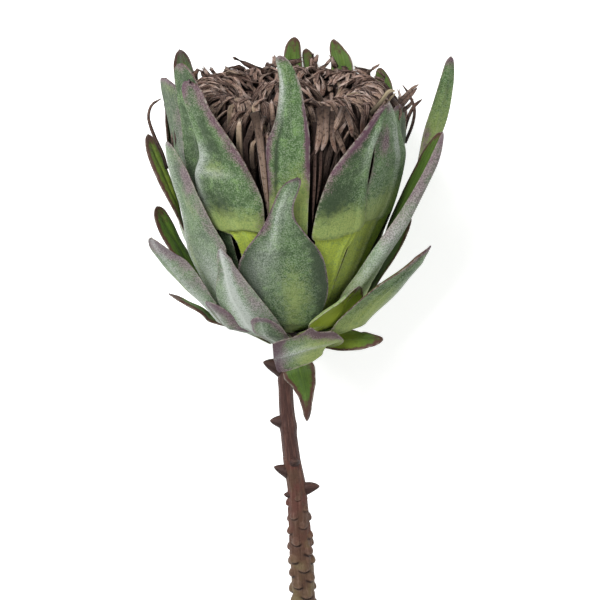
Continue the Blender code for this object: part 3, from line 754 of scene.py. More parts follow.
@dataclass
class Bract:
    """One bract: a thin closed blade with a midrib, waved margins and two coloured faces.

    Ripples, waves and dents are counts of half turns along the blade, and a dent's second number
    is its turns across. The skirt and the hem belong to the edge where the felt begins.
    """

    name: str
    look: BladeLook = BladeLook()
    rows: int = 84
    columns: int = 29
    body: float = 0.42
    margin: float = 0.14
    tip_width: float = 0.35
    ripples: tuple[float, ...] = (3.3, 6.1, 11.7)
    waves: tuple[float, ...] = (1.7, 3.1, 5.3)
    dents: tuple[tuple[float, float], ...] = ((3.0, 1.6), (5.5, 2.7), (8.5, 3.9))
    rib_reach: float = 1.1
    trough: tuple[float, float] = (0.45, 3.6)
    skirt_at: float = 0.8
    skirt_edge: float = 0.005
    skirt_reach: float = 0.12
    hem_edge: float = 0.006
    hem_shade: float = 0.9
    hem_below: float = 0.004
    hem_reach: float = 0.009
    hem_step: float = 1.2
    # width of the silver about the midrib, which is partly a painted highlight along it
    silver_and_highlight_width: float = 3.5
    tip_brown: float = 7.0
    rim_reach: float = 0.35

    @cached_property
    def share(self) -> Array:
        """The way along the blade of each row, closer at both ends: part even, part cosine."""
        even = np.linspace(0.0, 1.0, self.rows)[:, None]
        return 0.6 * even + 0.4 * (0.5 - 0.5 * np.cos(np.pi * even))

    @cached_property
    def across(self) -> Array:
        """The way across of each column, a sine from -1 at the left margin to 1 at the right."""
        return np.sin(np.linspace(-1, 1, self.columns) * np.pi / 2)[None, :]

    def narrowed(self, width: Array, rest: Array) -> Array:
        """The blade's width with its tip rounded: a half ellipse over the rest of its length."""
        left = np.clip(1.0 - rest / np.maximum(0.5 * width * self.look.point, 0.01), 0.0, 1.0)
        return np.maximum(width * np.sqrt(1.0 - left ** 2), self.tip_width)

    def middle(self) -> tuple[Array, Array, Array]:
        """The middle sheet, its widths, and the way that its outer face looks."""
        raise NotImplementedError

    def settle(self, grid: Array) -> Array:
        """Where the sheet ends up; most bracts stay where they are."""
        return grid

    def halves(self, width: Array) -> list[Array]:
        """Half widths, with the skirt, slow ripples, which are sums of sines, and the teeth.

        Args:
            width: the width of each row.
        Returns:
            Half the width of each row on the left, and on the right.
        """
        share, draw = self.share, np.random.default_rng(len(self.name) + ord(self.name[-1]) * 7)
        swell = np.sin(np.pi * np.clip(share, 0.0, 1.0)) ** 0.5
        made = []
        for side, skirt in zip(Side, self.look.skirt):
            above = self.above_hem(self.skirt_at * side.value)
            begun = smooth(above, -self.skirt_edge, self.skirt_edge)
            half = width / 2 + skirt * begun * bell(above, self.skirt_reach)
            for turns in self.ripples:
                phase = turns * np.pi * share + draw.uniform(0, 2 * np.pi)
                half = half + self.look.ragged * swell / turns ** 0.5 * np.sin(phase)
            for tooth in (t for t in self.look.teeth if t.side is side):
                half = half + tooth.size * np.exp(-(np.abs(share - tooth.along) / tooth.spread) ** 1.3)
            made.append(np.maximum(half, self.tip_width / 2))
        return made

    def section(self, width: Array) -> tuple[Array, Array]:
        """The cross-section of every row, as if the blade were straight along its length.

        The section's direction turns with every curl. Its course is the running sum of the steps
        taken in that direction, counted from the midrib.

        Args:
            width: the width of each row.
        Returns:
            For each point, how far it is along the unbent sheet, and how far off it.
        """
        left, right = self.halves(width)
        offset = self.across * np.where(self.across < 0.0, left, right)
        angle = np.zeros_like(offset)
        for curl in self.look.curls:
            turn = curl.side.value * np.radians(curl.turn) * smooth(self.share, curl.low, curl.high)
            angle = angle - turn * smooth(curl.side.value * self.across, curl.start, 1.0)
        step, between = np.diff(offset, axis=1), 0.5 * (angle[:, 1:] + angle[:, :-1])
        start, centre = np.zeros((len(offset), 1)), offset.shape[1] // 2
        along = np.concatenate([start, np.cumsum(step * np.cos(between), axis=1)], axis=1)
        off = np.concatenate([start, np.cumsum(step * np.sin(between), axis=1)], axis=1)
        return along - along[:, centre:centre + 1], off - off[:, centre:centre + 1]

    def above_hem(self, across: Array | float) -> Array:
        """How far above the felt's lower edge each row is at a way across, as a share of the length."""
        return self.share - self.look.felt - self.look.hem[0] * across - self.look.hem[1] * across ** 2

    def draw(self) -> np.random.Generator:
        """Random numbers that belong to this bract's name."""
        return np.random.default_rng(sum(ord(c) * 31 ** k for k, c in enumerate(self.name)) % 99991)

    def relief(self, width: Array) -> Array:
        """How far the sheet is pushed outwards.

        A raised midrib is a bell across the blade, less a wider one for the trough beside it. The
        margins wave as sines along the blade that grow with the square of the distance from the
        midrib, and broad dents are products of sines.

        Args:
            width: the width of each row.
        Returns:
            Millimetres outwards at each point.
        """
        share, across, draw, look = self.share, self.across, self.draw(), self.look
        offset = (across - look.rib_at) * width / 2
        grown = smooth(share, 0.02, 0.25) * (1.0 - smooth(share, 0.86, 1.0))
        rib = look.rib * (bell(offset, self.rib_reach) - self.trough[0] * bell(offset, self.trough[1]))
        wave = np.zeros_like(share * across)
        for turns in self.waves:
            for side in Side:
                phase, size = draw.uniform(0, 2 * np.pi), draw.uniform(0.5, 1.0) / turns ** 0.7
                outwards = np.clip(side.value * across, 0, 1) ** 2
                wave = wave + size * np.sin(turns * np.pi * share + phase) * outwards
        dents = np.zeros_like(wave)
        for long, wide in self.dents:
            a, b = draw.uniform(0, 2 * np.pi, 2)
            dents = dents + np.sin(long * np.pi * share + a) * np.sin(wide * across + b) / long
        free = smooth(share, 0.08, 0.4)
        roll = look.roll * np.abs(across) ** 7 * (1.0 - smooth(share, 0.9, 1.0))
        return grown * rib + free * (look.wave * wave + look.dent * dents + roll)

    def flush(self, strength: float, reach: float, inside: Array) -> Array:
        """The purple along a margin, at millimetres inside it: half a bell and half a long fall-off."""
        close = bell(inside, reach) + np.exp(-inside / (1.5 * reach))
        return 0.5 * strength * close * (0.35 + 0.65 * smooth(self.share, 0.25, 0.7))

    def paint(self, width: Array, length: float) -> tuple[Array, Array]:
        """The colours of every point: bells about the margins, the midrib and the patches.

        Args:
            width: the width of each row.
            length: the blade's length.
        Returns:
            The tint of every point, and its brown, felt and rim.
        """
        look, share, across = self.look, self.share, self.across
        left, right = (1.0 + across) * width / 2, (1.0 - across) * width / 2
        to_tip = (1.0 - share) * length
        purple = self.flush(*look.left, left) + self.flush(*look.right, right)
        purple = purple + look.tip[0] * bell(to_tip, look.tip[1])
        # silver felt about the midrib, partly a painted highlight along it
        silver = look.silver * (0.35 + 0.65 * bell((across - look.rib_at) * width, self.silver_and_highlight_width))
        half = look.lime[1] / 2
        lime = 1.0 - smooth(share, look.lime[0] - half, look.lime[0] + half)
        whole = np.zeros_like(share * across)
        washes = [v + whole for v in (purple, silver, lime, look.dark)]
        for patch in look.patches:
            spot = bell(share - patch.along, patch.long) * bell(across - patch.across, patch.wide)
            washes[patch.wash.value] = washes[patch.wash.value] + patch.strength * spot
        near = np.minimum(np.minimum(left, right), to_tip)
        brown = 1.15 * bell(near, look.brown) + 0.6 * bell(to_tip, self.tip_brown)
        above = self.above_hem(across)
        if look.felt > 0.0:
            shadow = self.hem_shade * bell(above + self.hem_below, self.hem_reach)
            washes[Wash.DARK.value] = washes[Wash.DARK.value] + shadow
        felt = smooth(above, -self.hem_edge, self.hem_edge)
        state = np.stack([brown, felt, bell(near, self.rim_reach)], -1)
        return np.clip(np.stack(washes, -1), -1, 1.5), state

    def build(self) -> Shape:
        """The blade as a closed shell: two faces a thickness apart, joined by a rim.

        The middle sheet is moved along its normals by the relief. Its thickness is an even body
        that thins with the fourth power across to the margins, and a step where the felt begins.

        Returns:
            The shell.
        """
        share, across = self.share, self.across
        grid, width, outward = self.middle()
        pushed = self.relief(width)[..., None]
        grid = self.settle(grid + self.normals(grid, outward) * pushed)
        normal = self.normals(grid, outward)
        length = float(np.linalg.norm(np.diff(grid[:, self.columns // 2], axis=0), axis=1).sum())
        thin = self.margin + (self.body - self.margin) * (1.0 - across ** 4) * (1.0 - 0.5 * share ** 4)
        tints, state = self.paint(width, length)
        step = self.hem_step * state[..., 1] * (1.0 - across ** 8) if self.look.felt > 0.0 else 0.0
        outer, inner = grid + normal * (thin + step)[..., None], grid - normal * thin[..., None]
        return self.close(outer, inner, tints, state)

    def normals(self, grid: Array, outward: Array) -> Array:
        """Unit normals of a sheet, on the side that its outer face looks to along its midrib."""
        normal = unit(np.cross(np.gradient(grid, axis=0), np.gradient(grid, axis=1)))
        return normal * np.sign((normal * outward)[:, self.columns // 2].sum())

    def close(self, outer: Array, inner: Array, tints: Array, state: Array) -> Shape:
        """Two matching grids as one closed shell, with a strip of faces round their margins.

        Args:
            outer: points of the outer face, in rows and columns.
            inner: points of the inner face.
            tints: the tint of each point.
            state: brown, felt and rim of each point.
        Returns:
            The shell.
        """
        rows, columns = outer.shape[:2]
        shift = rows * columns
        top = np.arange(shift).reshape(rows, columns)
        faces = []
        for grid, order in ((top, 1), (top + shift, -1)):
            quads = np.stack([grid[:-1, :-1], grid[:-1, 1:], grid[1:, 1:], grid[1:, :-1]], -1)
            faces.append(quads.reshape(-1, 4)[:, ::order])
        loop = np.concatenate([top[0, :-1], top[:-1, -1], top[-1, :0:-1], top[:0:-1, 0]])
        ahead = np.roll(loop, -1)
        faces.append(np.stack([ahead, loop, loop + shift, ahead + shift], -1))
        out = np.zeros((rows, columns, 1))
        flags = (out + 1.0, out) if self.look.swapped else (out, out + 1.0)
        states = [np.concatenate([flag, state], -1).reshape(-1, 4) for flag in flags]
        points = np.vstack([outer.reshape(-1, 3), inner.reshape(-1, 3)])
        values = {"tint": np.vstack([tints.reshape(-1, 4)] * 2), "state": np.vstack(states)}
        chart = np.stack(np.broadcast_arrays(0.5 + self.across / 2, self.share), -1).reshape(-1, 2)
        return Shape(points, np.vstack(faces).tolist(), values, np.vstack([chart, chart]))

    def dress(self, felt: Material, slot: Slot) -> None:
        """Build the bract and put it in the place of its solid."""
        self.build().place(self.name + "_blade", felt, slot, self.name)


@dataclass
class WrappedBract(Bract):
    """A bract that wraps round the goblet in its layer.

    A station is height up the goblet, azimuth, width, and where they aren't 0, lift off its
    layer, twist and gutter, which is how far the margins turn in.
    """

    layer: int = 0
    stations: tuple = ()

    def middle(self) -> tuple[Array, Array, Array]:
        """Each row follows the goblet's outside at its layer's distance, turned by its twist.

        Returns:
            The middle sheet, its widths, and the way that its outer face looks.
        """
        filled = [tuple(s) + (0.0,) * (6 - len(s)) for s in self.stations]
        table = along_stations(filled, self.share[:, 0])
        height, azimuth, width, lift, twist, gutter = (table[:, k][:, None] for k in range(6))
        rest = still_to_go(np.hypot(np.diff(height[:, 0]), np.diff(lift[:, 0])))
        width = self.narrowed(width, rest)
        turn = np.radians(twist)
        flat, bent = self.section(width)
        stand = LAYERS.seat(self.layer, height) + lift
        base, _ = CUP.off(height, stand)
        out = flat * np.sin(turn) + bent * np.cos(turn) - gutter * self.across ** 2
        radius, up = CUP.off(height, stand + out)
        round_it = flat * np.cos(turn) - bent * np.sin(turn)
        grid = around(radius, azimuth + np.degrees(round_it / base), up)
        return grid, width, around(1.0, azimuth, -CUP.slope(height))


@dataclass
class BentBract(Bract):
    """A bract along a path of its own, given as points of its midrib and widths."""

    stations: tuple = ()
    outward: tuple[float, float, float] = (0.0, -1.0, 0.0)

    def middle(self) -> tuple[Array, Array, Array]:
        """Each row is straight, square to the midrib's run and to the way that the blade faces.

        Returns:
            The middle sheet, its widths, and the way that its outer face looks.
        """
        outward = np.array(self.outward)
        table = along_stations(self.stations, self.share[:, 0])
        path = np.stack([table[:, 0], -table[:, 1], table[:, 2]], -1)
        run = unit(np.gradient(path, axis=0))
        side = unit(np.cross(run, outward))
        rest = still_to_go(np.linalg.norm(np.diff(path, axis=0), axis=1))
        width = self.narrowed(table[:, 3][:, None], rest)
        face = unit(np.cross(side, run))
        face = face * np.where((face @ outward)[:, None] < 0.0, -1.0, 1.0)
        flat, bent = self.section(width)
        grid = path[:, None, :] + flat[..., None] * side[:, None, :] + bent[..., None] * face[:, None, :]
        return grid, width, np.broadcast_to(outward, grid.shape)


@dataclass
class RestingBract(WrappedBract):
    """A bract that carries the head on the table and is pressed flat where it touches."""

    def settle(self, grid: Array) -> Array:
        """The sheet is moved up onto the table, by half the thickness, where it would dip below."""
        return LAY.kept_up(grid, self.body)


def sweep(paths: Array, fronts: Array, widths: Array, depths: Array, section: list,
          strand: Array, first: float = 0.0) -> Shape:
    """Many strips at once: a section carried along each path and closed at both ends.

    Args:
        paths: strips, points and coordinates.
        fronts: the way that each point's broad face looks.
        widths: width at each point.
        depths: thickness at each point.
        section: points of the section as shares of half the width and of the thickness.
        strand: for each strip, a number drawn for it and how straw-coloured it is.
        first: the share along the floret at which the path starts.
    Returns:
        The strips as one shape.
    """
    run = unit(np.gradient(paths, axis=1))
    side = unit(np.cross(run, fronts))
    face = np.cross(side, run)
    ring = np.array(section)
    sideways = side[:, :, None, :] * (widths / 2)[:, :, None, None] * ring[None, None, :, :1]
    upward = face[:, :, None, :] * depths[:, :, None, None] * ring[None, None, :, 1:]
    points = paths[:, :, None, :] + sideways + upward
    strips, count, corners = points.shape[:3]
    order = np.arange(strips * count * corners).reshape(strips, count, corners)
    caps = np.vstack([order[:, 0, ::-1], order[:, -1]])
    share = np.linspace(first, 1.0, count)[None, :, None]
    # how near a strip's side a point is, which the finish paints as shade
    edge = np.abs(ring[:, 0])[None, None, :] * (ring[:, 1] <= 0.05)[None, None, :]
    lot, straw = strand[:, 0][:, None, None], strand[:, 1][:, None, None]
    values = [np.broadcast_to(v, order.shape) for v in (lot, share, edge, straw)]
    across, along = ring[:, 0][None, None, :] * 0.5 + 7.0 * lot, share + 3.0 * lot
    chart = np.stack([np.broadcast_to(across, order.shape), np.broadcast_to(along, order.shape)], -1)
    return Shape(points.reshape(-1, 3), belts(order).tolist() + caps.tolist(),
                 {"strand": np.stack(values, -1).reshape(-1, 4)}, chart.reshape(-1, 2))


STRAND = [(-1.0, 0.0), (-0.5, 0.42), (0.1, 0.5), (0.6, 0.36), (1.0, 0.0), (0.0, -0.5)]
GROOVED = [(-1.0, 0.0), (-0.62, 0.46), (-0.1, 0.24), (0.42, 0.5), (1.0, 0.0), (0.0, -0.5)]
HAIR = [(-1.0, 0.0), (0.0, 0.5), (1.0, 0.0), (0.0, -0.5)]


@dataclass(frozen=True)
class Cushion:
    """The top of the head in profile: a rounded rim, a trench inside it and a mound in the middle.

    The whole top tips towards the front by tilt millimetres for each millimetre of radius.
    """

    radii: tuple[float, ...] = (0, 4, 8, 12, 15, 18, 21, 24, 28, 32, 36, 40, 43, 45.5)
    heights: tuple[float, ...] = (104.6, 104.2, 103.0, 100.6, 97.4, 94.6, 95.4, 98.8, 102.2, 103.9,
                                  103.6, 101.4, 97.6, 92.0)
    tilt: float = 0.045

    def height(self, radius: Array, turn: Array | float = 90.0) -> Array:
        """Height of the cushion at a radius and an azimuth in degrees."""
        return np.interp(radius, self.radii, self.heights) - self.tilt * radius * np.cos(np.radians(turn))


@dataclass(frozen=True)
class Straps:
    """How a set of strap-like florets is cut: width, thickness, and the hairs that its end frays to."""

    width: float = 2.3
    tip: float = 2.0
    depth: float = 1.15
    fray: float = 1.9
    hairs: int = 3
    sections: int = 8
    hair_sections: int = 4
    pale_share: float = 0.05

    def cut(self, paths: Array, fronts: Array, draw: np.random.Generator,
            first: float = 0.0) -> list[Shape]:
        """Straps with a groove down the back, each frayed to short hairs at its end.

        A strap's width goes evenly from width to tip, less a high power of the way along that
        rounds its end. A hair starts across the strap's end, runs on with the strap and leans
        aside by its own number. Its width falls in a straight line to a point.

        Args:
            paths: straps, points and coordinates.
            fronts: the way that each point's broad face looks.
            draw: random numbers.
            first: the share along the floret at which the paths start.
        Returns:
            The straps, then one shape for each hair of every strap.
        """
        n, count = paths.shape[:2]
        run = unit(np.gradient(paths, axis=1))
        side = unit(np.cross(run, fronts))
        share = np.linspace(0.0, 1.0, count)[None, :]
        size = draw.uniform(0.7, 1.35, (n, 1))
        width = size * (self.width + (self.tip - self.width) * share ** 2) * (1.0 - 0.35 * share ** 8)
        depth = self.depth * size * (1.0 - 0.45 * share ** 6)
        lot = draw.random(n)
        straw = (draw.random(n) > 1.0 - self.pale_share) * draw.uniform(0.1, 0.4, n)
        made = [sweep(paths, fronts, width, depth, GROOVED, np.stack([lot, straw], -1), first)]
        along = np.linspace(-0.35, 1.0, self.hair_sections)[None, :]
        faces = np.repeat(fronts[:, -1:], self.hair_sections, axis=1)
        for k in range(self.hairs):
            seat = (k - (self.hairs - 1) / 2) / self.hairs
            reach = self.fray * size * draw.uniform(0.3, 1.0, (n, 1))
            aside = 0.9 * seat + draw.normal(0.0, 0.22, (n, 1))
            ahead = unit(run[:, -1] + side[:, -1] * aside + fronts[:, -1] * draw.uniform(-0.3, 0.6, (n, 1)))
            line = paths[:, -1:] + (side[:, -1] * width[:, -1:] * 0.8 * seat)[:, None]
            line = line + ahead[:, None] * (reach * along)[..., None]
            thick = width[:, -1:] / self.hairs * 1.5 * (1.0 - 0.85 * np.clip(along, 0.0, 1.0))
            tone = np.stack([np.clip(lot + draw.uniform(-0.1, 0.35, n), 0, 1), straw], -1)
            made.append(sweep(line, faces, thick, 0.7 * thick, HAIR, tone, 0.9))
        return made


def faced(paths: Array, turn: Array, draw: np.random.Generator, roll: float = 0.4) -> Array:
    """The way that straps face: square to their run, outwards and up, and rolled a little each.

    Args:
        paths: straps, points and coordinates.
        turn: azimuth of each point.
        draw: random numbers.
        roll: how much the straps' roll about their run varies.
    Returns:
        A direction for each point.
    """
    run = unit(np.gradient(paths, axis=1))
    sideways = around(1.0, turn + 90.0, 0.0)
    fronts = unit(np.cross(sideways, run))
    skyward = around(1.0, turn, 1.5)
    fronts = fronts * np.where((fronts * skyward).sum(-1, keepdims=True) < 0.0, -1.0, 1.0)
    return unit(fronts + draw.normal(0.0, roll, (len(paths), 1, 1)) * np.cross(run, fronts))


@dataclass(frozen=True)
class CombedRow:
    """Short straps combed over the cushion like shingles, each rooted under the one before it.

    Root is the range of radii where they grow out, length how far in they reach, swirl the mean
    and the scatter of their turn off the radius in degrees, lift how far their ends stand up.
    """

    name: str
    count: int
    root: tuple[float, float]
    length: tuple[float, float]
    swirl: tuple[float, float] = (5.0, 17.0)
    lift: tuple[float, float] = (0.3, 2.6)
    over: float = 0.5
    straps: Straps = Straps()
    rooted: float = 3.4
    arch: float = 0.9

    def build(self, cushion: Cushion, draw: np.random.Generator) -> list[Shape]:
        """Each path starts under the cushion and follows it inwards, off the radius by its swirl.

        Args:
            cushion: the top of the head.
            draw: random numbers.
        Returns:
            The straps and their hairs.
        """
        n = self.count
        share = np.linspace(0.0, 1.0, self.straps.sections)[None, :]
        root = draw.uniform(*self.root, (n, 1))
        gone = draw.uniform(*self.length, (n, 1)) * share
        swirl = np.radians(draw.normal(*self.swirl, (n, 1)))
        radius = np.maximum(root - gone * np.cos(swirl), 0.8)
        steps = 360.0 / n * (np.arange(n)[:, None] + draw.uniform(-0.4, 0.4, (n, 1)))
        bend = draw.normal(0.0, 6.0, (n, 1)) * share ** 2
        bend = bend + draw.normal(0.0, 2.0, (n, 1)) * np.sin(6.0 * share)
        turn = steps - np.degrees(gone * np.sin(swirl) / np.maximum(radius, 7.0)) + bend
        height = cushion.height(radius, turn) + self.over - self.rooted * (1.0 - share) ** 3
        height = height + draw.uniform(*self.lift, (n, 1)) * share ** 2.2
        height = height + self.arch * np.sin(np.pi * share)
        paths = around(radius, turn, height)
        return self.straps.cut(paths, faced(paths, turn, draw), draw, 0.5)


@dataclass(frozen=True)
class UprightRow:
    """Straps that climb inside the bracts, as knots of radius and height and how much each varies."""

    name: str
    count: int
    knots: tuple
    scatter: tuple
    drift: float = 3.0
    sector: tuple[float, float] = (0.0, 360.0)
    first: float = 0.0
    straps: Straps = Straps()
    weave: float = 1.6

    def build(self, cushion: Cushion, draw: np.random.Generator) -> list[Shape]:
        """Each path runs through its own knots; its azimuth drifts as a power of the way along.

        Args:
            cushion: the top of the head, whose tilt the paths follow.
            draw: random numbers.
        Returns:
            The straps and their hairs.
        """
        n, (start, stop) = self.count, self.sector
        steps = np.arange(n)[:, None] + draw.uniform(-0.45, 0.45, (n, 1))
        knots = np.tile(np.array(self.knots, dtype=float), (n, 1, 1))
        knots = knots + np.array(self.scatter, dtype=float) * draw.uniform(-1.0, 1.0, knots.shape)
        table = through_knots(knots, self.straps.sections)
        share = np.linspace(0.0, 1.0, self.straps.sections)[None, :]
        turn = start + (stop - start) / n * steps + draw.normal(0.0, self.drift, (n, 1)) * share ** 1.6
        swing = draw.normal(0.0, self.weave, (n, 1))
        turn = turn + swing * np.sin(draw.uniform(4.0, 9.0, (n, 1)) * share)
        tipped = cushion.tilt * table[..., 0] * np.cos(np.radians(turn)) * share
        paths = around(table[..., 0], turn, table[..., 1] - tipped)
        return self.straps.cut(paths, faced(paths, turn, draw), draw, self.first)


SLENDER = Straps(width=1.9, tip=1.5, depth=0.9, fray=1.8)
LONG = Straps(sections=12)
STUBBY = Straps(width=2.8, tip=2.2, depth=1.4, fray=2.0)


@dataclass(frozen=True)
class Stray:
    """A strand with a course of its own: knots of azimuth, radius and height, width and tones."""

    knots: tuple
    width: float
    lot: float = 0.3
    straw: float = 0.0
    flare: float = 0.05
    sections: int = 16
    flatness: float = 0.6

    def build(self) -> Shape:
        """The strand: its width is a share of full width that swells by flare and then tapers.

        Returns:
            The strand, which faces outwards.
        """
        table = through_knots(np.array(self.knots, dtype=float)[None], self.sections)
        azimuth, radius, height = table[..., 0], table[..., 1], table[..., 2]
        paths = around(radius, azimuth, height)
        share = np.linspace(0.0, 1.0, self.sections)[None, :]
        fronts = around(1.0, azimuth * 0.6, 0.15)
        widths = self.width * (1.0 + self.flare * (1.0 - 2.0 * share)) * (1.0 - 0.8 * share ** 6)
        tones = np.array([[self.lot, self.straw]])
        return sweep(paths, fronts, widths, widths * self.flatness, STRAND, tones, 0.45)


@dataclass
class FloretHead:
    """The brown brush: a dark core under straps that climb the wall and comb over the cushion."""

    seed: int = 7
    core_inset: float = 7.6
    core_drop: float = 1.6
    core_top: tuple[float, float] = (3.0, 36.0)
    core_rings: int = 12
    core_steps: int = 48
    shoulder: float = 92.0
    foot: float = 19.4
    foot_step: float = 4.0
    cushion: Cushion = Cushion()
    rows: tuple = (
        UprightRow("wall", 66, ((27.8, 40), (38.6, 66), (42.4, 84), (42.8, 95)),
                   ((1, 4), (0.9, 4), (0.9, 4), (1.4, 5)), first=-0.3),
        UprightRow("rim", 80, ((39, 66), (43.6, 84), (44.4, 93), (42, 99.4), (37.5, 103), (33, 104.4)),
                   ((0.8, 4), (0.9, 3), (1.1, 1.8), (1.2, 1.6), (2, 1.4), (3, 1.6)), 5, first=0.12,
                   straps=LONG),
        UprightRow("over", 52, ((38, 60), (44.2, 82), (45.4, 90.5), (43.8, 97), (40.5, 101.2),
                                (37, 103.4)),
                   ((0.8, 4), (0.7, 4), (0.9, 3), (1.2, 2.6), (1.8, 2.2), (2.4, 2.2)), 6, first=0.12,
                   straps=LONG),
        CombedRow("outer", 92, (38.5, 44.5), (9, 14)),
        CombedRow("second", 84, (33.5, 39), (8, 13)),
        CombedRow("third", 70, (28.5, 34), (8, 12), lift=(0.2, 2.8)),
        CombedRow("trench", 50, (23, 28), (5, 9), lift=(-1.5, 1.5)),
        CombedRow("mound", 44, (13, 18), (6, 10), (14, 18), (0.4, 3.4), 1, SLENDER),
        CombedRow("peak", 28, (6, 11.5), (4, 8), (20, 24), (0.8, 3.6), 1.2, SLENDER),
        UprightRow("loose", 42, ((41.5, 72), (44.8, 84), (45.8, 92), (45.6, 97.5)),
                   ((0.8, 5), (0.7, 4), (0.8, 3.5), (1.6, 4)), 7, first=0.1, straps=STUBBY),
        UprightRow("crest", 22, ((38.5, 99), (40, 102.5), (40.2, 105), (39.8, 107.6)),
                   ((2.6, 1), (2.8, 1), (3, 1.4), (3.4, 2.2)), 9, (112, 250), 0.3, STUBBY),
    )
    strays: tuple = (
        Stray(((-86, 48, 72.7), (-86, 49.6, 78.4), (-87, 52.4, 84.6), (-88, 54.4, 89.9), (-88, 55, 94),
               (-88, 53.6, 98.1), (-87, 50, 100.6)), 2.1, 0.25),
        Stray(((85, 45.6, 86), (86, 47.2, 92.2), (86, 49.6, 97.3), (87, 53, 100.4)), 2.2, 0.2),
        Stray(((86, 46.4, 83), (86, 49.2, 90.3), (86, 50, 96.5), (86, 48, 102.2), (86, 45.2, 106.3)),
              1.9, 0.2),
        Stray(((44, 46.2, 100.2), (50, 47.4, 104.6), (54.5, 48, 107.8), (60, 48.2, 107.4)),
              1.9, 0.7, 0.95),
        Stray(((52, 46.8, 100.8), (56, 48, 104.8), (60, 48.5, 106.6)), 1, 0.7, 0.8),
        Stray(((66, 45, 98.5), (69, 47.5, 100.5), (74, 49.5, 103.4), (80, 51.6, 106)), 2.3, 0.5),
        Stray(((66, 45.6, 100.5), (71, 47.8, 103.5), (76, 50.2, 106.2), (80, 52.2, 107.4)), 1.6, 0.75),
        Stray(((67, 45.6, 97), (71, 47.6, 98.2), (75, 49.4, 99.8), (78, 50.4, 101.8)), 1.8, 0.35),
        Stray(((60, 46.5, 104), (63, 47.2, 102), (66, 48, 98.5), (66, 47.6, 95)), 2.4, 0.5),
        Stray(((-15.4, 48, 103), (-13.6, 47.8, 98), (-12.4, 47.4, 89), (-11.4, 46.2, 79),
               (-10.6, 43.8, 69), (-10.2, 41, 59)), 3, 0.9, 0.05, 0.45),
        Stray(((-10.4, 48.2, 101.6), (-12.2, 47.9, 97), (-12.6, 47.2, 91)), 2, 0.98),
        Stray(((15.4, 46.6, 104.5), (15.6, 47.6, 99), (14.8, 47.4, 93), (13.4, 46.2, 86.5)), 3.2, 0.7),
        Stray(((18.8, 46.8, 105), (17.8, 47.8, 99), (17.8, 47.4, 92.5), (16.4, 46.2, 87.5)), 3, 0.9),
        Stray(((21, 46.6, 103), (21, 47.4, 97), (21.8, 46.8, 91.5), (24.2, 45.8, 86)), 2.6, 0.6),
        Stray(((13, 46.6, 99), (13.2, 46.2, 90), (13.4, 45.2, 80), (13.6, 43.2, 69), (14, 39.8, 58)),
              1.5, 0.15),
        Stray(((17, 46, 96), (16.4, 45.4, 87), (16.6, 44, 77), (15.6, 41.8, 66)), 1.5, 0.2),
        Stray(((22, 46.8, 97), (24.2, 47, 93), (27, 46.6, 88.5), (29.6, 45.8, 84.5)), 2.6, 0.8),
        Stray(((27.4, 46.8, 104), (25, 47.6, 100.5), (22.6, 47.6, 97), (20.6, 47, 93.5)), 2.9, 0.75),
        Stray(((26.8, 46.8, 104), (29, 47.6, 100.5), (31, 47.4, 96.5), (32.4, 46.6, 92)), 2.7, 0.6),
    )

    def core(self) -> Shape:
        """The dark body under the straps: its profile turned about the axis, closed at both poles.

        Returns:
            The core.
        """
        top = np.linspace(*self.core_top, self.core_rings)
        wall = np.linspace(self.shoulder, self.foot + self.foot_step, self.core_rings)
        foot = CUP.radius(self.foot) - self.foot_step
        radius = np.concatenate([top, CUP.radius(wall) - self.core_inset, [foot]])
        height = np.concatenate([self.cushion.height(top) - self.core_drop, wall, [self.foot]])
        ring = around(radius[:, None], ring_turns(self.core_steps)[None, :], height[:, None])
        poles = [[0, 0, float(self.cushion.height(0.0)) - self.core_drop], [0, 0, self.foot]]
        points = np.vstack([ring.reshape(-1, 3), poles])
        # the core counts as the root of a strip, so the finish gives it the painted shade of the roots
        strand = np.tile(np.array([[0.1, 0.0, 0.0, 0.0]]), (len(points), 1))
        chart = np.stack([points[:, 0], points[:, 2]], -1) * 0.05
        return Shape(points, closed_tube(len(radius), self.core_steps), {"strand": strand}, chart)

    def dress(self, fibre: Material) -> None:
        """Build the core, every row and the strays, and put them in the place of the solid.

        Args:
            fibre: the florets' finish.
        """
        draw = np.random.default_rng(self.seed)
        self.core().place("floret_core", fibre, Slot.FLORETS, "floret_head")
        for row in self.rows:
            straps = Shape.merged(row.build(self.cushion, draw))
            straps.place("florets_" + row.name, fibre, Slot.FLORETS, "floret_head")
        strays = Shape.merged([stray.build() for stray in self.strays])
        strays.place("florets_stray", fibre, Slot.FLORETS, "floret_head")


@dataclass(frozen=True)
class Ridges:
    """Shallow ridges down a stem: a sine of the turn that drifts round with the height."""

    size: float
    count: int
    drift: float
    start: float = 0.0

    def out(self, turns: Array, height: Array) -> Array:
        """How far they stand out, at turns in radians and at heights."""
        return self.size * np.sin(self.count * turns + self.drift * height + self.start)


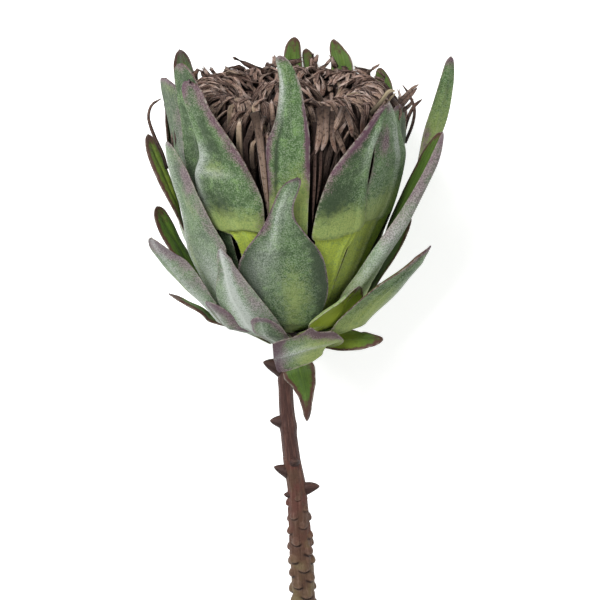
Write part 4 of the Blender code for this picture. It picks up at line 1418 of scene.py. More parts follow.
@dataclass(frozen=True)
class LeafBase:
    """A lump that an old leaf left on the bark, in millimetres.

    It is the top of an ellipsoid, longer above its middle than below it. A dark hollow lies
    round its lower half as a crescent, and a pale lip just inside that.
    """

    wide: float = 2.9
    above: float = 2.9
    below: float = 1.9
    height: float = 1.35
    blunt: float = 0.7
    hollow_at: float = 1.05
    hollow_width: float = 0.27
    hollow_fade: float = 1.2
    hollow_depth: float = 0.5
    hollow_dark: float = 1.3
    lip_at: float = 0.55
    lip_width: float = 0.3
    lip_fade: tuple[float, float] = (-0.8, 0.6)
    lip_pale: float = 0.7

    def marks(self, arc: Array, rise: Array, size: float) -> tuple[Array, Array, Array]:
        """One lump's bump, hollow and lip. The hollow and the lip are bells about rings round it.

        Args:
            arc: how far round the stem a point is from the lump's middle.
            rise: how far above the middle it is.
            size: the lump's size against the ordinary one.
        Returns:
            The bump's height, the hollow from 0 to its size, and the lip's strength.
        """
        long = np.where(rise > 0.0, self.above, self.below)
        span = np.sqrt((arc / self.wide) ** 2 + (rise / long) ** 2) / size
        bump = self.height * size * np.clip(1.0 - span ** 2, 0.0, None) ** self.blunt
        hollow = bell(span - self.hollow_at, self.hollow_width) * smooth(-rise, 0.0, self.hollow_fade)
        lip = self.lip_pale * bell(span - self.lip_at, self.lip_width) * smooth(-rise, *self.lip_fade)
        return bump, size * hollow, lip


@dataclass(frozen=True)
class BudScale:
    """A bud scale: a fat hood that stands on the stem and draws in to a blunt point.

    Height is its root's lower end, azimuth the side of the stem, reach how far it stands out,
    rise the height of the root, peak the point's height as a share of the rise, and broad half
    the root's width.
    """

    height: float
    azimuth: float
    reach: float
    rise: float
    peak: float
    broad: float
    sunk: float = 1.4
    least: float = 0.25
    rings: int = 18
    steps: int = 20
    lumps: float = 0.06
    dark: float = 0.7
    lighter_top: float = 0.35

    def build(self, stem: float, middle: float) -> Shape:
        """The scale, whose middle runs straight from the middle of its root to the point.

        Its half height falls as a power of what is left of the way, and its half width as one of
        the way squared.

        Args:
            stem: the stem's radius there.
            middle: the across position of the stem's middle there.
        Returns:
            The scale.
        """
        share = np.linspace(0.0, 1.0, self.rings)
        out = stem - self.sunk + (self.reach + self.sunk) * share
        path = around(out, self.azimuth, self.height + self.rise * (0.5 + (self.peak - 0.5) * share))
        path[:, 0] += middle
        turns = np.radians(ring_turns(self.steps))
        half = self.broad * (1.0 - share ** 2) ** 0.7 + self.least
        deep = 0.5 * self.rise * (1.0 - share ** 1.6) ** 0.8 + self.least
        lump = 1.0 + self.lumps * np.sin(3 * turns[None, :] + 5.0 * share[:, None])
        keel = (np.cos(turns)[None, :] * half[:, None] * lump)[..., None]
        body = (np.sin(turns)[None, :] * deep[:, None] * lump)[..., None]
        side = around(1.0, self.azimuth + 90.0, 0.0)
        ring = path[:, None] + side * keel + np.array([0.0, 0.0, 1.0]) * body
        order = np.arange(self.rings * self.steps).reshape(self.rings, self.steps)
        faces = belts(order).tolist() + [order[0][::-1].tolist(), order[-1].tolist()]
        bark = np.zeros((self.rings, self.steps, 4))
        bark[..., 1] = self.dark - self.lighter_top * (np.sin(turns) > 0.3)[None, :]
        bark[..., 2] = 0.3 * bell(share - 0.95, 0.1)[:, None]
        chart = np.stack(np.broadcast_arrays(turns[None, :] * 0.1, share[:, None] * 0.3), -1)
        return Shape(ring.reshape(-1, 3), faces, {"bark": bark.reshape(-1, 4)}, chart.reshape(-1, 2))


@dataclass
class Stem:
    """The stem: receptacle, thin upper stem, bark sleeve with leaf scars, and bud scales.

    Heights are measured from the foot of the bloom, so those of the stem are below 0.
    """

    length: float = 214.0
    lean: float = 0.060
    settles: float = 30.0
    bow: float = 2.0
    bow_length: float = 60.0
    sleeve_top: float = -45.5
    thin: float = 2.6
    slim: float = 3.45
    full: float = 4.7
    taper: float = 40.0
    upper_top: float = -2.0
    inside_sleeve: float = 6.0
    upper_rings: int = 90
    upper_steps: int = 40
    upper_ridges: tuple[Ridges, ...] = (Ridges(0.10, 5, 0.05), Ridges(0.06, 9, -0.03, 1.0))
    groove: float = -0.08
    groove_dark: float = 0.25
    joints: tuple[float, ...] = (-14.5, -33.5)
    joint_swell: float = 0.45
    joint_reach: float = 2.2
    seed: int = 11
    sleeve_rings: int = 560
    sleeve_steps: int = 96
    sleeve_ridges: tuple[Ridges, ...] = (Ridges(0.10, 7, 0.11), Ridges(0.07, 12, -0.06))
    gnarl: float = 0.10
    sleeve_edge: float = 0.35
    edge_length: float = 1.6
    leaf_base: LeafBase = LeafBase()
    plain_top: float = 18.0
    scar_step: float = 1.4
    scar_turn: float = 137.5
    scars_grow: float = 12.0
    tone: float = 0.25
    tone_length: float = 23.0
    receptacle_top: float = 19.0
    receptacle_rings: int = 24
    receptacle_steps: int = 64
    receptacle_off: float = 0.05
    receptacle_dark: float = 0.35
    neck: tuple = ((-4.0, 3.6), (-6.5, 2.9), (-9.0, 2.0))
    scales: tuple[BudScale, ...] = (
        BudScale(-13.9, -92, 6.2, 7.2, 0.92, 2.3), BudScale(-34.9, -88, 4.2, 5.4, 0.66, 2.1),
        BudScale(-56.2, -85, 5.0, 5.6, 1.0, 2.0), BudScale(-62.4, 88, 5.0, 5.2, 0.7, 2.0),
        BudScale(-50.4, 10, 2.0, 4.0, 0.8, 1.9), BudScale(-64.0, -80, 1.6, 2.8, 0.7, 1.6),
    )

    def middle(self, height: Array) -> Array:
        """Across position of the stem's middle: a lean that sets in, less half a sine."""
        lean = -self.lean * height * np.clip(-height / self.settles, 0.0, 1.0)
        return lean - self.bow * np.sin(np.pi * np.clip(-height / self.bow_length, 0.0, 1.0))

    def thin_radius(self, height: Array) -> Array:
        """Radius of the upper stem, which thickens evenly down to the sleeve."""
        return self.thin + (self.slim - self.thin) * np.clip(height / self.sleeve_top, 0.0, 1.0)

    def sleeve_radius(self, height: Array) -> Array:
        """Radius of the sleeve, slimmer at its top."""
        down = np.clip((self.sleeve_top - height) / self.taper, 0.0, 1.0)
        return self.slim + (self.full - self.slim) * down

    def tube(self, heights: Array, radii: Array, bark: Array) -> Shape:
        """Level rings about the stem's middle, closed by a fan at either end.

        Args:
            heights: heights of the rings.
            radii: radius of each point, rings by steps.
            bark: the bark attribute of each point.
        Returns:
            The tube, shaved flat where it would dip below the table.
        """
        turns = ring_turns(radii.shape[1])
        ring = around(radii, turns[None, :], heights[:, None])
        ring[..., 0] += self.middle(heights)[:, None]
        ring = LAY.kept_up(ring, 0.0)
        points = np.vstack([ring.reshape(-1, 3), ring[0].mean(0), ring[-1].mean(0)])
        chart = np.stack(np.broadcast_arrays(turns[None, :] / 180.0, heights[:, None] * 0.04), -1)
        chart = np.vstack([chart.reshape(-1, 2), [[0, 0], [0, 0]]])
        tint = np.vstack([bark.reshape(-1, 4), bark[0].mean(0), bark[-1].mean(0)])
        return Shape(points, closed_tube(*radii.shape), {"bark": tint}, chart)

    def upper(self) -> Shape:
        """The thin upper stem: shallow ridges down it, dark between them, swollen at its joints.

        Returns:
            The upper stem, which ends inside the sleeve.
        """
        heights = np.linspace(self.upper_top, self.sleeve_top - self.inside_sleeve, self.upper_rings)
        turns, down = np.radians(ring_turns(self.upper_steps))[None, :], heights[:, None]
        ridges = sum(ridge.out(turns, down) for ridge in self.upper_ridges)
        swell = sum(self.joint_swell * bell(down - height, self.joint_reach) for height in self.joints)
        bark = np.zeros((*ridges.shape, 4))
        bark[..., 1] = self.groove_dark * (ridges < self.groove)
        return self.tube(heights, self.thin_radius(down) + ridges + swell, bark)

    def sleeve(self) -> Shape:
        """The bark sleeve: a tube with ridges, gnarled by a slow sine, and old leaf bases on it.

        Leaf bases wind down the sleeve by a fixed step and turn, small at first, and where two
        meet the larger number counts.

        Returns:
            The sleeve.
        """
        draw = np.random.default_rng(self.seed)
        heights = np.linspace(self.sleeve_top, -self.length, self.sleeve_rings)
        azimuths = ring_turns(self.sleeve_steps)[None, :]
        down, turns = heights[:, None], np.radians(azimuths)
        radii = self.sleeve_radius(down) + sum(ridge.out(turns, down) for ridge in self.sleeve_ridges)
        radii = radii + self.gnarl * np.sin(0.33 * down + 1.3 * np.sin(turns))
        bumps, hollows, lips = (np.zeros_like(radii) for _ in range(3))
        first = self.sleeve_top - self.plain_top
        for k in range(int((self.length + first) / self.scar_step)):
            height = first - self.scar_step * (k + draw.uniform(-0.3, 0.3))
            azimuth = self.scar_turn * k + draw.uniform(-10, 10)
            size = draw.uniform(0.7, 1.1) * (0.5 + 0.5 * min(k / self.scars_grow, 1.0))
            arc = np.radians((azimuths - azimuth + 180.0) % 360.0 - 180.0) * self.full
            marks = self.leaf_base.marks(arc, down - height, size)
            bumps, hollows, lips = (np.maximum(a, b) for a, b in zip((bumps, hollows, lips), marks))
        radii = radii + bumps - self.leaf_base.hollow_depth * hollows
        radii = radii - self.sleeve_edge * smooth(down, self.sleeve_top - self.edge_length, self.sleeve_top)
        tone = self.tone * np.sin(down / self.tone_length) + np.zeros_like(radii)
        scars = self.leaf_base.hollow_dark * hollows
        return self.tube(heights, radii, np.stack([np.ones_like(radii), scars, lips, tone], -1))

    def receptacle(self) -> Shape:
        """The swollen end that carries the head, turned from the goblet's own profile.

        Returns:
            The receptacle, which narrows to the upper stem.
        """
        heights = np.linspace(self.receptacle_top, 0.0, self.receptacle_rings)
        radius, up = CUP.off(heights, self.receptacle_off)
        neck = np.array(self.neck)
        radius, up = np.concatenate([radius, neck[:, 1]]), np.concatenate([up, neck[:, 0]])
        radii = np.repeat(radius[:, None], self.receptacle_steps, axis=1)
        bark = np.zeros((*radii.shape, 4))
        bark[..., 1] = self.receptacle_dark
        return self.tube(up, radii, bark)

    def dress(self, bark: Material) -> None:
        """Build every part of the stem and put it in the place of the solid.

        Args:
            bark: the stem's finish.
        """
        self.receptacle().place("receptacle", bark, Slot.STEM, "stem")
        self.upper().place("upper_stem", bark, Slot.STEM, "stem")
        self.sleeve().place("bark_sleeve", bark, Slot.STEM, "stem")
        for k, scale in enumerate(self.scales, 1):
            radius = self.thin_radius if scale.height > self.sleeve_top else self.sleeve_radius
            hood = scale.build(float(radius(scale.height)), float(self.middle(scale.height)))
            hood.place(f"bud_scale_{k}", bark, Slot.STEM, "stem")


# short names for what the tables below hold; Patch, Curl and Tooth say what the numbers are
# the silver patches are partly painted highlight, the dark ones partly painted shade
plum, silver_and_highlight, lime, dark = (partial(Patch, wash) for wash in Wash)
left_curl, right_curl = (partial(Curl, side) for side in Side)
left_tooth, right_tooth = (partial(Tooth, side) for side in Side)

INNER_SIDE = BladeLook(left=(0.8, 2.0), right=(0.8, 2.0), lime=(0.12, 0.1))

# bracts at the viewed front and sides: layer, stations as WrappedBract has them, and look
FRONT: dict[str, tuple] = {
    "inner_bract_01": (1, [
        (17, 0, 10), (58, -0.5, 16), (75, 0, 16.8), (90, 0.2, 16.2), (97, 1.2, 13.6), (104, 1.5, 11),
        (114, 1, 8), (121, -1, 6), (125.6, -3.4, 4.6),
    ], BladeLook(
        left=(0.1, 1), right=(0.2, 1), lime=(0.5, 0.3), silver=0.03, rib_at=-0.25, wave=0.35, tip=(0.7, 4),
        point=1.1, dark=0.2,
        patches=(
            plum(0.65, 1, 0.11, 0.24, 1.8), silver_and_highlight(0.88, -0.8, 0.1, 0.3, 0.9),
            dark(0.58, -0.52, 0.2, 0.1, 1.2), lime(0.4, 0.8, 0.18, 0.7, 0.8), plum(0.6, -1, 0.18, 0.3, 1.3),
            lime(0.93, 0.1, 0.05, 0.6, 0.3), plum(0.78, 0.95, 0.1, 0.2, 0.8)),
        curls=(left_curl(0.5, 50, 0.75, 0.6), right_curl(0.75, 30, 0.4, 0.5)),
    )),
    "inner_bract_02": (2, [
        (15, -19, 8), (44, -19.5, 10.5), (53, -21, 12.5), (56, -23.5, 16), (60.3, -27, 22),
        (68.7, -30, 29.5), (76.9, -32, 29), (85, -31, 21), (94, -35, 16.7), (103, -41, 14),
        (109, -44, 12.5), (113.5, -46, 10),
    ], BladeLook(
        left=(0.1, 1), right=(0.45, 3.6), lime=(0.49, 0.18), felt=0.39, hem=(0.012, -0.03),
        skirt=(4.2, 1.2), silver=0.04, rib_at=-0.15, rib=0.6, point=0.7, wave=0.3, tip=(0.5, 3), dark=0.34,
        patches=(
            silver_and_highlight(0.6, -0.85, 0.1, 0.2, 1), plum(0.84, 0.8, 0.14, 0.45, 0.7),
            dark(0.52, -0.25, 0.06, 0.4, 0.7), plum(0.97, -0.8, 0.06, 0.5, 1.1),
            lime(0.66, -0.2, 0.05, 0.5, 0.55), dark(0.78, -0.1, 0.12, 0.35, 0.6),
            silver_and_highlight(0.72, -0.75, 0.05, 0.3, 0.5), silver_and_highlight(0.64, -0.3, 0.02, 0.6, 0.5),
            plum(0.68, 0.9, 0.06, 0.2, 0.5)),
        curls=(right_curl(0.75, -35, 0.5, 0.7), left_curl(0.8, 40, 0.45, 0.6)),
    )),
    "inner_bract_03": (1, [
        (17, -49, 10), (50, -47, 18), (85, -46, 17), (103, -48, 17), (113, -50, 15.5, 0.4),
        (119.5, -52.5, 11.5, 0.8),
    ], BladeLook(
        left=(0.2, 1), right=(0.5, 1.6), silver=0.06, point=0.8, dark=0.5,
        patches=(
            plum(0.66, 0.75, 0.1, 0.4, 0.9), dark(0.5, 0, 0.2, 0.8, 0.5), dark(0.9, 0.2, 0.1, 0.5, 0.3)),
        curls=(right_curl(0.6, -40, 0.4, 0.7),),
    )),
    "inner_bract_04": (0, [
        (20, -67, 12), (50, -65, 22), (82, -66, 25), (98, -68.5, 24, 0.5), (106, -69.5, 23, 1.5),
        (111.5, -69, 21, 2.5),
    ], BladeLook(
        left=(0.3, 1.2), right=(0.5, 2), silver=0.1, point=0.4, tip=(1, 3), dark=0.75,
        patches=(
            plum(0.76, 0.4, 0.16, 0.5, 0.6), lime(0.96, 0, 0.05, 0.8, 0.4), silver_and_highlight(0.6, 0.3, 0.2, 0.5, 0.2)),
    )),
    "inner_bract_05": (2, [
        (15, 24, 8), (44, 24.5, 13), (52, 26, 16), (60, 28, 20), (70, 28.5, 20), (80, 30, 18),
        (88, 33.5, 13), (95, 38.5, 8.5), (101, 43, 6), (104.5, 46, 4.5),
    ], BladeLook(
        left=(0.45, 2.4), right=(0.1, 0.8), lime=(0.49, 0.2), felt=0.40, hem=(0.014, 0.02),
        skirt=(1.6, 1.8), silver=0.03, rib_at=0.7, tip=(0.5, 4), dark=0.25,
        patches=(
            dark(0.72, -0.3, 0.2, 0.7, 0.55), plum(0.85, -0.7, 0.13, 0.5, 1.3),
            dark(0.54, -0.6, 0.07, 0.6, 0.7), silver_and_highlight(0.8, 0.6, 0.1, 0.3, 0.4), lime(0.5, 0.3, 0.06, 0.8, 0.4),
            plum(0.7, -0.95, 0.05, 0.2, 0.4)),
    )),
    "inner_bract_06": (1, [
        (17, 51, 11), (50, 53, 19), (64, 56, 23, 1), (80, 58.4, 25, 0.6), (88, 55.8, 20), (96, 52.6, 13),
        (104, 50, 6),
    ], BladeLook(
        left=(0.3, 1.4), right=(0.2, 0.8), lime=(0.52, 0.25), felt=0.42, rib_at=0.2, rib=0.9,
        skirt=(0, 1.6), hem=(0, 0.02), silver=0.3, point=1.6,
        patches=(
            plum(0.8, -0.5, 0.1, 0.3, 0.9), lime(0.5, 0.4, 0.1, 0.9, 0.5), dark(0.7, 0.3, 0.14, 0.4, 0.3),
            silver_and_highlight(0.76, 0.2, 0.1, 0.15, 0.6)),
    )),
    "inner_bract_07": (0, [
        (20, 75, 11), (50, 75, 22), (78, 74, 22), (90, 69, 16), (98, 66, 11.5), (101.5, 65, 9),
    ], BladeLook(
        lime=(0.3, 0.3), silver=0.05, dark=0.3, point=0.7, tip=(1.2, 4),
        patches=(dark(0.8, 0.6, 0.2, 0.5, 0.8), lime(0.75, 0, 0.1, 0.6, 0.3)),
    )),
    "inner_bract_08": (3, [
        (12, 90, 8), (40, 90, 13), (62, 91, 12.8, 2), (79, 92, 11.6, 4.4, 34), (94, 93, 9.8, 6.8, 56),
        (107, 93, 7.2, 8.8, 58), (117, 93, 3.8, 10, 50),
    ], BladeLook(
        left=(0.2, 1), right=(0.2, 0.8), lime=(0.8, 0.6), wave=0.25, silver=0.0, tip=(0.9, 4), dark=0.1,
        patches=(plum(0.66, -0.6, 0.1, 0.5, 0.9), dark(0.85, 0, 0.1, 0.8, 0.3)),
    )),
    "middle_bract_01": (4, [
        (9.4, 0, 10), (20, -1, 24), (31, -2, 34), (42, -3, 35.5), (50, -3, 30), (57, -3, 20),
        (63.5, -3, 11.5), (69, -2, 8), (75, 0.6, 7.6), (80.5, 4, 5.6, 0.8),
    ], BladeLook(
        left=(1.3, 0.5), right=(1.5, 0.55), lime=(0.1, 0.15), silver=0.12, rib_at=-0.1, rib=0.9, wave=0.5,
        tip=(0.9, 2.5), point=1.0, dark=0.22,
        patches=(
            silver_and_highlight(0.72, -0.3, 0.16, 0.15, 0.5), lime(0.33, 0.25, 0.16, 0.4, 0.7),
            plum(0.74, -0.9, 0.08, 0.3, 0.6), dark(0.45, 0.9, 0.25, 0.25, 1),
            dark(0.3, -0.8, 0.28, 0.3, 1.7), dark(0.56, -0.1, 0.04, 0.3, 0.4),
            dark(0.10, 0, 0.07, 0.9, 0.4), silver_and_highlight(0.86, 0, 0.1, 0.8, 0.3), silver_and_highlight(0.5, -0.5, 0.16, 0.3, 0.3),
            lime(0.15, 0.2, 0.06, 0.4, 0.5)),
        curls=(right_curl(0.7, 30),),
    )),
    "middle_bract_02": (4, [
        (9.4, -49, 9), (20, -52, 20), (31, -54, 27), (42, -57.5, 32), (47, -56, 32), (52, -52.5, 30.5),
        (62, -51.5, 22.5), (72, -53, 18), (81, -55, 13.5, 0.4), (89.5, -58, 6.5, 1),
    ], BladeLook(
        left=(0.1, 1), right=(0.4, 3), lime=(0.06, 0.12), silver=0.4, rib_at=-0.5, rib=1.2, wave=0.6,
        tip=(0.6, 3),
        patches=(
            silver_and_highlight(0.45, -0.8, 0.5, 0.25, 1.2), plum(0.84, 0.5, 0.14, 0.6, 0.9),
            dark(0.86, 0.1, 0.1, 0.6, 0.8), lime(0.42, -0.4, 0.14, 0.12, 0.7),
            plum(0.5, 0.85, 0.2, 0.2, 0.4), silver_and_highlight(0.32, 0.3, 0.16, 0.6, 0.7), lime(0.7, 0.1, 0.06, 0.4, 0.4),
            plum(0.68, -0.7, 0.08, 0.2, 0.4), dark(0.58, 0.3, 0.08, 0.3, 0.4)),
        curls=(left_curl(0.45, 28),),
    )),
    "middle_bract_03": (3, [
        (12, -82, 9), (34, -78, 16), (50, -76, 13, 0, 8), (61, -79, 10, -0.8, 16), (71, -85, 9, 0.4, 26),
        (79, -90, 8.4, 2.4, 34), (86.5, -95, 6, 4.2, 36),
    ], BladeLook(
        silver=0.9, left=(0.4, 1.4), right=(0.4, 1.2), brown=1.5, wave=0.8, dark=0.3,
        patches=(lime(0.6, 0, 0.3, 0.8, 0.5),),
    )),
    "middle_bract_04": (4, [
        (9.4, 61, 9), (24, 61, 20), (38, 62, 24, 1.2, -16), (50, 62, 26, 2.6, -30),
        (62, 64.5, 26, 4.2, -38), (75, 68, 23, 6.2, -42), (85, 71.5, 18, 7.8, -42),
        (92, 73.5, 11, 8.8, -38),
    ], BladeLook(
        left=(0.7, 2.4), right=(0.7, 2.6), silver=0.35, brown=1.7, point=1.1, lime=(0.35, 0.5),
        patches=(
            plum(0.75, -0.6, 0.3, 0.5, 0.7), silver_and_highlight(0.45, -0.7, 0.25, 0.3, 0.5),
            dark(0.9, -0.2, 0.12, 0.6, 0.8)),
        curls=(left_curl(0.35, 125, 0.12, 0.35),),
    )),
    "outer_bract_01": (6, [
        (4.2, -17, 7), (14, -21, 19), (23, -26, 24), (31, -29.5, 22.5), (38, -31, 16), (45, -31.5, 9),
        (52.5, -33, 3.4),
    ], BladeLook(
        left=(0.4, 1.8), right=(0.6, 4.4), lime=(0.06, 0.1), silver=0.8, rib=1.5, rib_at=-0.15, point=2.0,
        tip=(0.5, 3),
        patches=(
            silver_and_highlight(0.6, -0.2, 0.5, 0.3, 1.1), plum(0.6, 0.65, 0.3, 0.3, 0.5), dark(0.3, 0.8, 0.15, 0.2, 0.5),
            lime(0.35, 0.05, 0.15, 0.2, 0.3), silver_and_highlight(0.3, 0, 0.2, 0.6, 0.6)),
        teeth=(right_tooth(0.93, 0.9, 0.02),),
    )),
    "outer_bract_02": (6, [
        (4.2, -66, 6), (14, -66, 12), (24, -66.5, 15, 0.6, -4, 1), (35, -66, 16.5, 3.6, -16, 2),
        (45, -65.5, 15, 6.4, -24, 2), (51, -66, 12, 8.4, -18, 1), (56, -66.5, 8, 9.6, -10),
    ], BladeLook(
        left=(0.4, 1.4), right=(0.6, 2.2), silver=0.6, tip=(1, 7), lime=(0.15, 0.3), point=1.1,
        patches=(
            lime(0.55, -0.4, 0.2, 0.5, 0.5), plum(0.85, 0.5, 0.2, 0.6, 0.7), silver_and_highlight(0.35, 0, 0.25, 0.6, 0.7)),
    )),
    "outer_bract_03": (5, [
        (6.8, -98, 8), (20, -99, 16), (34, -97, 13, 0.6, 10), (45, -94, 10.5, 1.6, 24),
        (54, -92, 9, 2.4, 36), (60.5, -91, 6.5, 3.2, 38),
    ], BladeLook(silver=0.6, tip=(1, 6), brown=1.2, point=1.0)),
    "outer_bract_04": (6, [
        (4.2, 44, 5, 1.5), (14, 49, 15, 1.6, 4), (24, 54, 22, 2.6, 9), (35, 58, 24, 5.6, 12),
        (45, 61, 18, 9.4, 10), (51, 62, 11, 12, 6), (55.5, 63, 5, 14),
    ], BladeLook(
        left=(1.4, 0.9), right=(0.3, 1.6), lime=(0.45, 0.7), silver=0.02, rib=0.8, tip=(1, 5), point=1.4,
        dark=0.1,
        patches=(
            lime(0.45, 0.2, 0.2, 0.5, 0.6), plum(0.85, -0.6, 0.14, 0.5, 0.9),
            silver_and_highlight(0.6, 0.8, 0.3, 0.25, 0.7), dark(0.4, -0.5, 0.2, 0.3, 0.5), dark(0.75, 0.2, 0.06, 0.4, 0.4)),
        curls=(left_curl(0.6, -30, 0.3, 0.6), right_curl(0.6, 40)),
        teeth=(left_tooth(0.9, 1.1, 0.02), right_tooth(0.8, 1.2, 0.04)),
    )),
    "outer_bract_05": (5, [
        (6.8, 27, 6), (15, 32, 15), (22, 37, 19), (29, 42, 17.5), (34.5, 47, 11),
    ], BladeLook(
        point=0.8, brown=0.5, lime=(0.9, 1.2), dent=1.6, swapped=True,
        curls=(left_curl(0.6, -60),),
        teeth=(left_tooth(0.55, 2.4, 0.1),),
    )),
    "outer_bract_06": (5, [
        (8, -40, 6, 0.5), (14, -44, 11, 1.5), (20, -48, 13.5, 3), (26, -51, 13, 4), (30.5, -53, 10, 4.5),
    ], BladeLook(
        left=(1.2, 1.6), right=(1, 2.6), silver=0.3, point=0.9, dark=0.25,
        patches=(
            plum(0.8, 0, 0.25, 0.9, 0.7), plum(0.3, 0.6, 0.3, 0.4, 0.6), silver_and_highlight(0.6, -0.1, 0.3, 0.2, 0.7)),
        curls=(right_curl(0.3, 50, 0.1, 0.4), left_curl(0.4, 35, 0.1, 0.4)),
    )),
    "basal_bract_01": (7, [
        (1.6, -6, 5), (8, -9, 11), (15, -12, 14, 0.6), (22, -14.5, 14.5, 1.2), (28, -15.5, 10.5, 1.8),
    ], BladeLook(
        left=(1.2, 1.5), right=(1.1, 2.6), point=0.9, tip=(1.2, 2.5), dark=0.3,
        patches=(
            plum(0.6, -0.6, 0.3, 0.4, 0.6), silver_and_highlight(0.5, -0.2, 0.3, 0.25, 0.8), dark(0.4, 0.4, 0.3, 0.3, 0.6)),
        curls=(left_curl(0.3, 45, 0.1, 0.4), right_curl(0.5, 30)),
    )),
    "basal_bract_02": (7, [
        (1.6, -90, 4), (9, -90, 8, -1), (16, -90, 9.5, -0.5), (22, -90, 9.5, 0.6), (27, -90, 8, 4.6),
        (32, -90, 5.5, 9),
    ], BladeLook(left=(0.6, 2), right=(0.6, 2), tip=(1.1, 9), brown=1.6, dark=0.4)),
    "basal_bract_03": (7, [
        (1.6, 66, 5), (7, 68, 11, 1, -20), (12, 70, 14, 4.2, -44), (16, 71, 11, 7.2, -50),
        (19, 72, 5.5, 10.5, -50),
    ], BladeLook(
        point=1.1, brown=1.1, lime=(0.55, 0.6), silver=0.3, tip=(0.8, 4), dark=0.1,
        teeth=(right_tooth(0.5, 2, 0.08), right_tooth(0.75, -1.2, 0.04)),
    )),
}

# bracts on a path of their own: right, forward, height and width of each point, facing, and look
BENT: dict[str, tuple] = {
    "basal_bract_04": ([
        (3.4, 4.1, -1.6, 3), (10.5, 9.5, 1.6, 4.5), (17.5, 16.5, 5.6, 7), (16.4, 24.5, 6.8, 11),
        (8, 30.5, 6, 16), (-0.6, 33, 4, 17.4), (-5.4, 34, 2.7, 16.2),
    ], (0.1, -0.85, -0.5), BladeLook(
        left=(0.3, 1.2), right=(0.8, 1.8), lime=(0.75, 0.7), silver=0.08, point=0.1, rib=0.8,
        tip=(1.2, 3.5), ragged=0.45,
        patches=(
            lime(0.62, -0.5, 0.2, 0.6, 0.9), plum(0.62, 0.85, 0.14, 0.4, 1.2),
            silver_and_highlight(0.85, 0, 0.12, 0.5, 0.5), plum(0.95, 0.4, 0.08, 0.8, 0.8), silver_and_highlight(0.7, 0, 0.3, 0.06, 0.45)),
        teeth=(right_tooth(0.73, 3.2, 0.03), right_tooth(0.58, 1.2, 0.05)),
    )),
    "basal_bract_05": ([
        (0.5, 5, -2.6, 3.6), (3.6, 11, -5, 10.4), (4.7, 13.6, -8, 13.4), (6.3, 13.6, -14, 9),
        (7.5, 13.2, -20, 4.8), (7.7, 12.2, -28, 1.6),
    ], (-0.1, -0.97, -0.2), BladeLook(
        swapped=True, brown=1.7, lime=(0.05, 0.1), wave=0.3, point=2.0, dark=0.45, rib=0.9, dent=1.4,
    )),
}

BEHIND = BladeLook(left=(0.5, 1.2), right=(0.5, 1.2), brown=0.5, lime=(0.12, 0.1), point=1.4, dark=0.15)

# bracts at the back whose tips show from the front, as in FRONT
REAR: dict[str, tuple] = {
    "inner_bract_10": (0, [
        (20, 126, 12), (50, 126, 20), (80, 126, 18), (95, 127, 14, 0.5), (102, 128.5, 11, 1),
        (107.2, 131, 6.4, 1),
    ], BEHIND),
    "inner_bract_11": (1, [
        (17, 154, 11), (50, 154, 19), (80, 154, 17), (100, 154, 11, 0.5), (108, 155, 9.6, 0.8),
        (112, 157, 7.8, 1), (116.3, 159, 4.6, 1),
    ], BEHIND),
    "inner_bract_12": (0, [
        (20, 178, 12), (50, 178, 20), (80, 178, 16), (100, 178, 9, 0.3), (110, 178, 7, 0.5),
        (117, 177, 5.4, 0.5),
    ], BEHIND),
    "inner_bract_14": (0, [
        (20, -121, 12), (50, -121, 21), (80, -121, 20), (100, -121, 16), (110, -120, 13, 0.5),
        (116, -118, 9, 0.5),
    ], BladeLook(left=(0.5, 1.6), right=(0.5, 1.6), brown=1.4, silver=0.1, point=1.0, dark=0.7)),
    "inner_bract_16": (2, [
        (15, 167, 7), (50, 167, 11), (80, 168, 9), (100, 169, 6.6), (107, 170.5, 5.6), (112, 172, 3.8),
    ], BEHIND),
}

# the other bracts at the back: azimuth, layer, height of the tip, width and flare
BACK: dict[str, tuple] = {
    "inner_bract_09": (104, 1, 84, 20, 0.5),
    "inner_bract_13": (-153, 1, 103, 20, 0.0),
    "inner_bract_15": (-98, 1, 97, 19, 0.0),
    "middle_bract_06": (127, 3, 88, 24, 5.0),
    "middle_bract_07": (180, 3, 80, 26, 0.0),
    "middle_bract_08": (-134, 3, 86, 24, 4.0),
    "outer_bract_07": (104, 5, 54, 22, 4.0),
    "outer_bract_08": (144, 6, 55, 22, 5.0),
    "outer_bract_09": (178, 5, 52, 20, 0.0),
    "outer_bract_10": (-137, 6, 56, 22, 5.0),
    "basal_bract_06": (119, 7, 30, 13, 5.0),
    "basal_bract_07": (159, 7, 28, 13, 1.0),
    "basal_bract_08": (-156, 7, 28, 14, 1.0),
}

# the two that the head rests on: azimuth, and for both of them height, width and lift
RESTING: dict[str, float] = {"resting_bract_left": -154.0, "resting_bract_right": 154.0}
PRESSED = BladeLook(wave=0.0, rib=0.25)
RESTING_STATIONS = [(9.4, 12, 0), (22, 24, 0), (34, 29, 0), (48, 29, 0), (60, 27, 0.8),
                    (70, 24, 2.6), (80, 19, 4.4), (88, 11, 5.2), (94, 4, 5.4)]


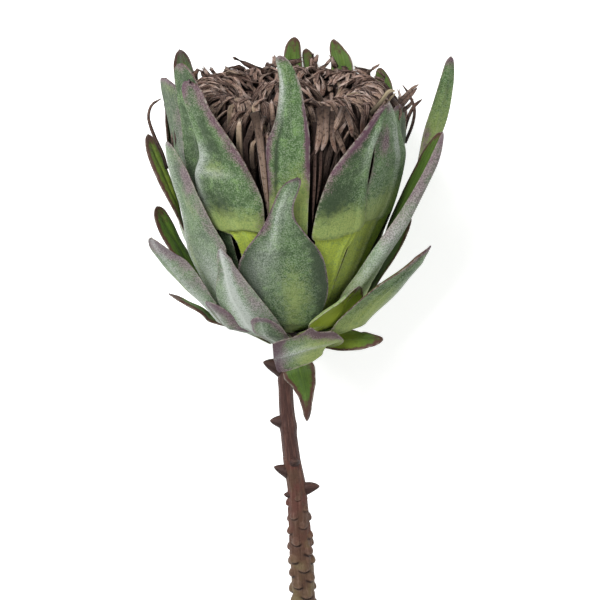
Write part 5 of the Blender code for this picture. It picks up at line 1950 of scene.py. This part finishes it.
@dataclass
class Involucre:
    """All the bracts round the head.

    The outline of an ordinary bract at the back is in shares of its height, width and flare.
    """

    back_outline: tuple = ((0.0, 0.34, 0.0), (0.22, 0.80, 0.0), (0.45, 1.0, 0.05), (0.68, 0.78, 0.3),
                           (0.86, 0.42, 0.7), (1.0, 0.12, 1.0))
    above_root: float = 0.1
    resting_layer: int = 4
    first_at_back: int = 9

    def back_stations(self, azimuth: float, layer: int, tip: float, width: float, flare: float) -> tuple:
        """Stations of an ordinary bract: narrow root, belly low down, tapering to a flared tip."""
        low = LAYERS.root(layer)
        return tuple((low + self.above_root + (tip - low) * s, azimuth, width * w, flare * f)
                     for s, w, f in self.back_outline)

    def bracts(self) -> list[Bract]:
        """Every bract, from its stations and its look.

        Returns:
            The bracts, none of them built yet.
        """
        made: list[Bract] = [WrappedBract(name, look, layer=layer, stations=tuple(stations))
                             for name, (layer, stations, look) in (FRONT | REAR).items()]
        made += [BentBract(name, look, stations=tuple(stations), outward=outward)
                 for name, (stations, outward, look) in BENT.items()]
        made += [WrappedBract(name, INNER_SIDE, layer=numbers[1], stations=self.back_stations(*numbers))
                 for name, numbers in BACK.items()]
        for name, azimuth in RESTING.items():
            stations = tuple((h, azimuth, w, lift) for h, w, lift in RESTING_STATIONS)
            made.append(RestingBract(name, PRESSED, layer=self.resting_layer, stations=stations))
        return made

    def dress(self, felt: Material) -> None:
        """Build every bract and put it in the place of its solid.

        Args:
            felt: the bracts' finish.
        """
        for bract in self.bracts():
            kind, _, number = bract.name.split("_")
            back = kind == "inner" and int(number) >= self.first_at_back
            bract.dress(felt, Slot.INNER if back else Slot.OUTER)


@dataclass(frozen=True)
class Lamp:
    """A square area light: where it stands and its side in metres, and its power in watts."""

    name: str
    place: tuple[float, float, float]
    side: float
    power: float

    def put(self, aim: tuple[float, float, float]) -> None:
        """Set the light up, turned to a point.

        Args:
            aim: the point, in metres.
        """
        lamp = bpy.data.lights.new(self.name, "AREA")
        lamp.size = self.side
        lamp.energy = self.power
        holder = bpy.data.objects.new(self.name, lamp)
        bpy.context.scene.collection.objects.link(holder)
        holder.location = self.place
        holder.rotation_euler = (Vector(aim) - Vector(self.place)).to_track_quat("-Z", "Y").to_euler()


@dataclass
class Studio:
    """The table, the lights and the camera.

    The target is a point of the upright bloom and the distance is from it, in millimetres. Lift
    is how many degrees the camera looks down on the bloom. Aim is what the lamps look at.
    """

    target: tuple[float, float, float] = (4.8, 0.0, 18.5)
    lift: float = 13.0
    distance: float = 1500.0
    lens: float = 225.0
    film: float = 36.0
    world_light: float = 0.35
    glow: float = 0.52
    white: Colour = (1.0, 1.0, 1.0, 1.0)
    table_white: Colour = (0.96, 0.96, 0.96, 1.0)
    table_size: float = 6.0
    table_drop: float = 0.0001
    lamps: tuple[Lamp, ...] = (Lamp("key", (-0.6, 0.66, 1.20), 0.7, 22.0),
                               Lamp("fill", (0.9, 0.1, 1.0), 1.2, 4.4))
    aim: tuple[float, float, float] = (0.0, 0.09, 0.05)

    def table(self) -> None:
        """A plain pale table top, just under the bloom."""
        bpy.ops.mesh.primitive_plane_add(size=self.table_size, location=(0.0, 0.0, -self.table_drop))
        table = bpy.context.object
        table.name = "table_top"
        g = Graph("table_white")
        g.shade({"Base Color": self.table_white, "Emission Color": self.white,
                 "Emission Strength": self.glow, "Roughness": 0.9, "Specular IOR Level": 0.1})
        table.data.materials.append(g.material)

    def camera(self) -> None:
        """A long lens above the bloom, square to the photograph's view of it."""
        turn = math.radians(self.lift)
        back = LAY.direction((0.0, -math.cos(turn), math.sin(turn)))
        aim = Vector((LAY.world(np.array(self.target)) * MM).tolist())
        data = bpy.data.cameras.new("camera")
        data.lens = self.lens
        data.sensor_width = self.film
        holder = bpy.data.objects.new("camera", data)
        bpy.context.scene.collection.objects.link(holder)
        right = Vector((1.0, 0.0, 0.0))
        axes = Matrix((right, back.cross(right), back)).transposed().to_4x4()
        holder.matrix_world = Matrix.Translation(aim + back * self.distance * MM) @ axes
        bpy.context.scene.camera = holder

    def build(self) -> None:
        """Set up the table, the lights and the camera."""
        self.table()
        for lamp in self.lamps:
            lamp.put(self.aim)
        world = bpy.data.worlds.new("soft_white")
        world.use_nodes = True
        light = world.node_tree.nodes["Background"].inputs
        light["Color"].default_value, light["Strength"].default_value = self.white, self.world_light
        bpy.context.scene.world = world
        bpy.context.scene.view_settings.view_transform = "Standard"
        self.camera()


def main() -> None:
    """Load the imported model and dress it."""
    logging.basicConfig(level=logging.INFO, format="%(name)s %(message)s")
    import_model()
    Stem().dress(BarkFinish().material())
    FloretHead().dress(FibreFinish().material())
    Involucre().dress(FeltFinish().material())
    Studio().build()


if __name__ == "__main__":
    main()
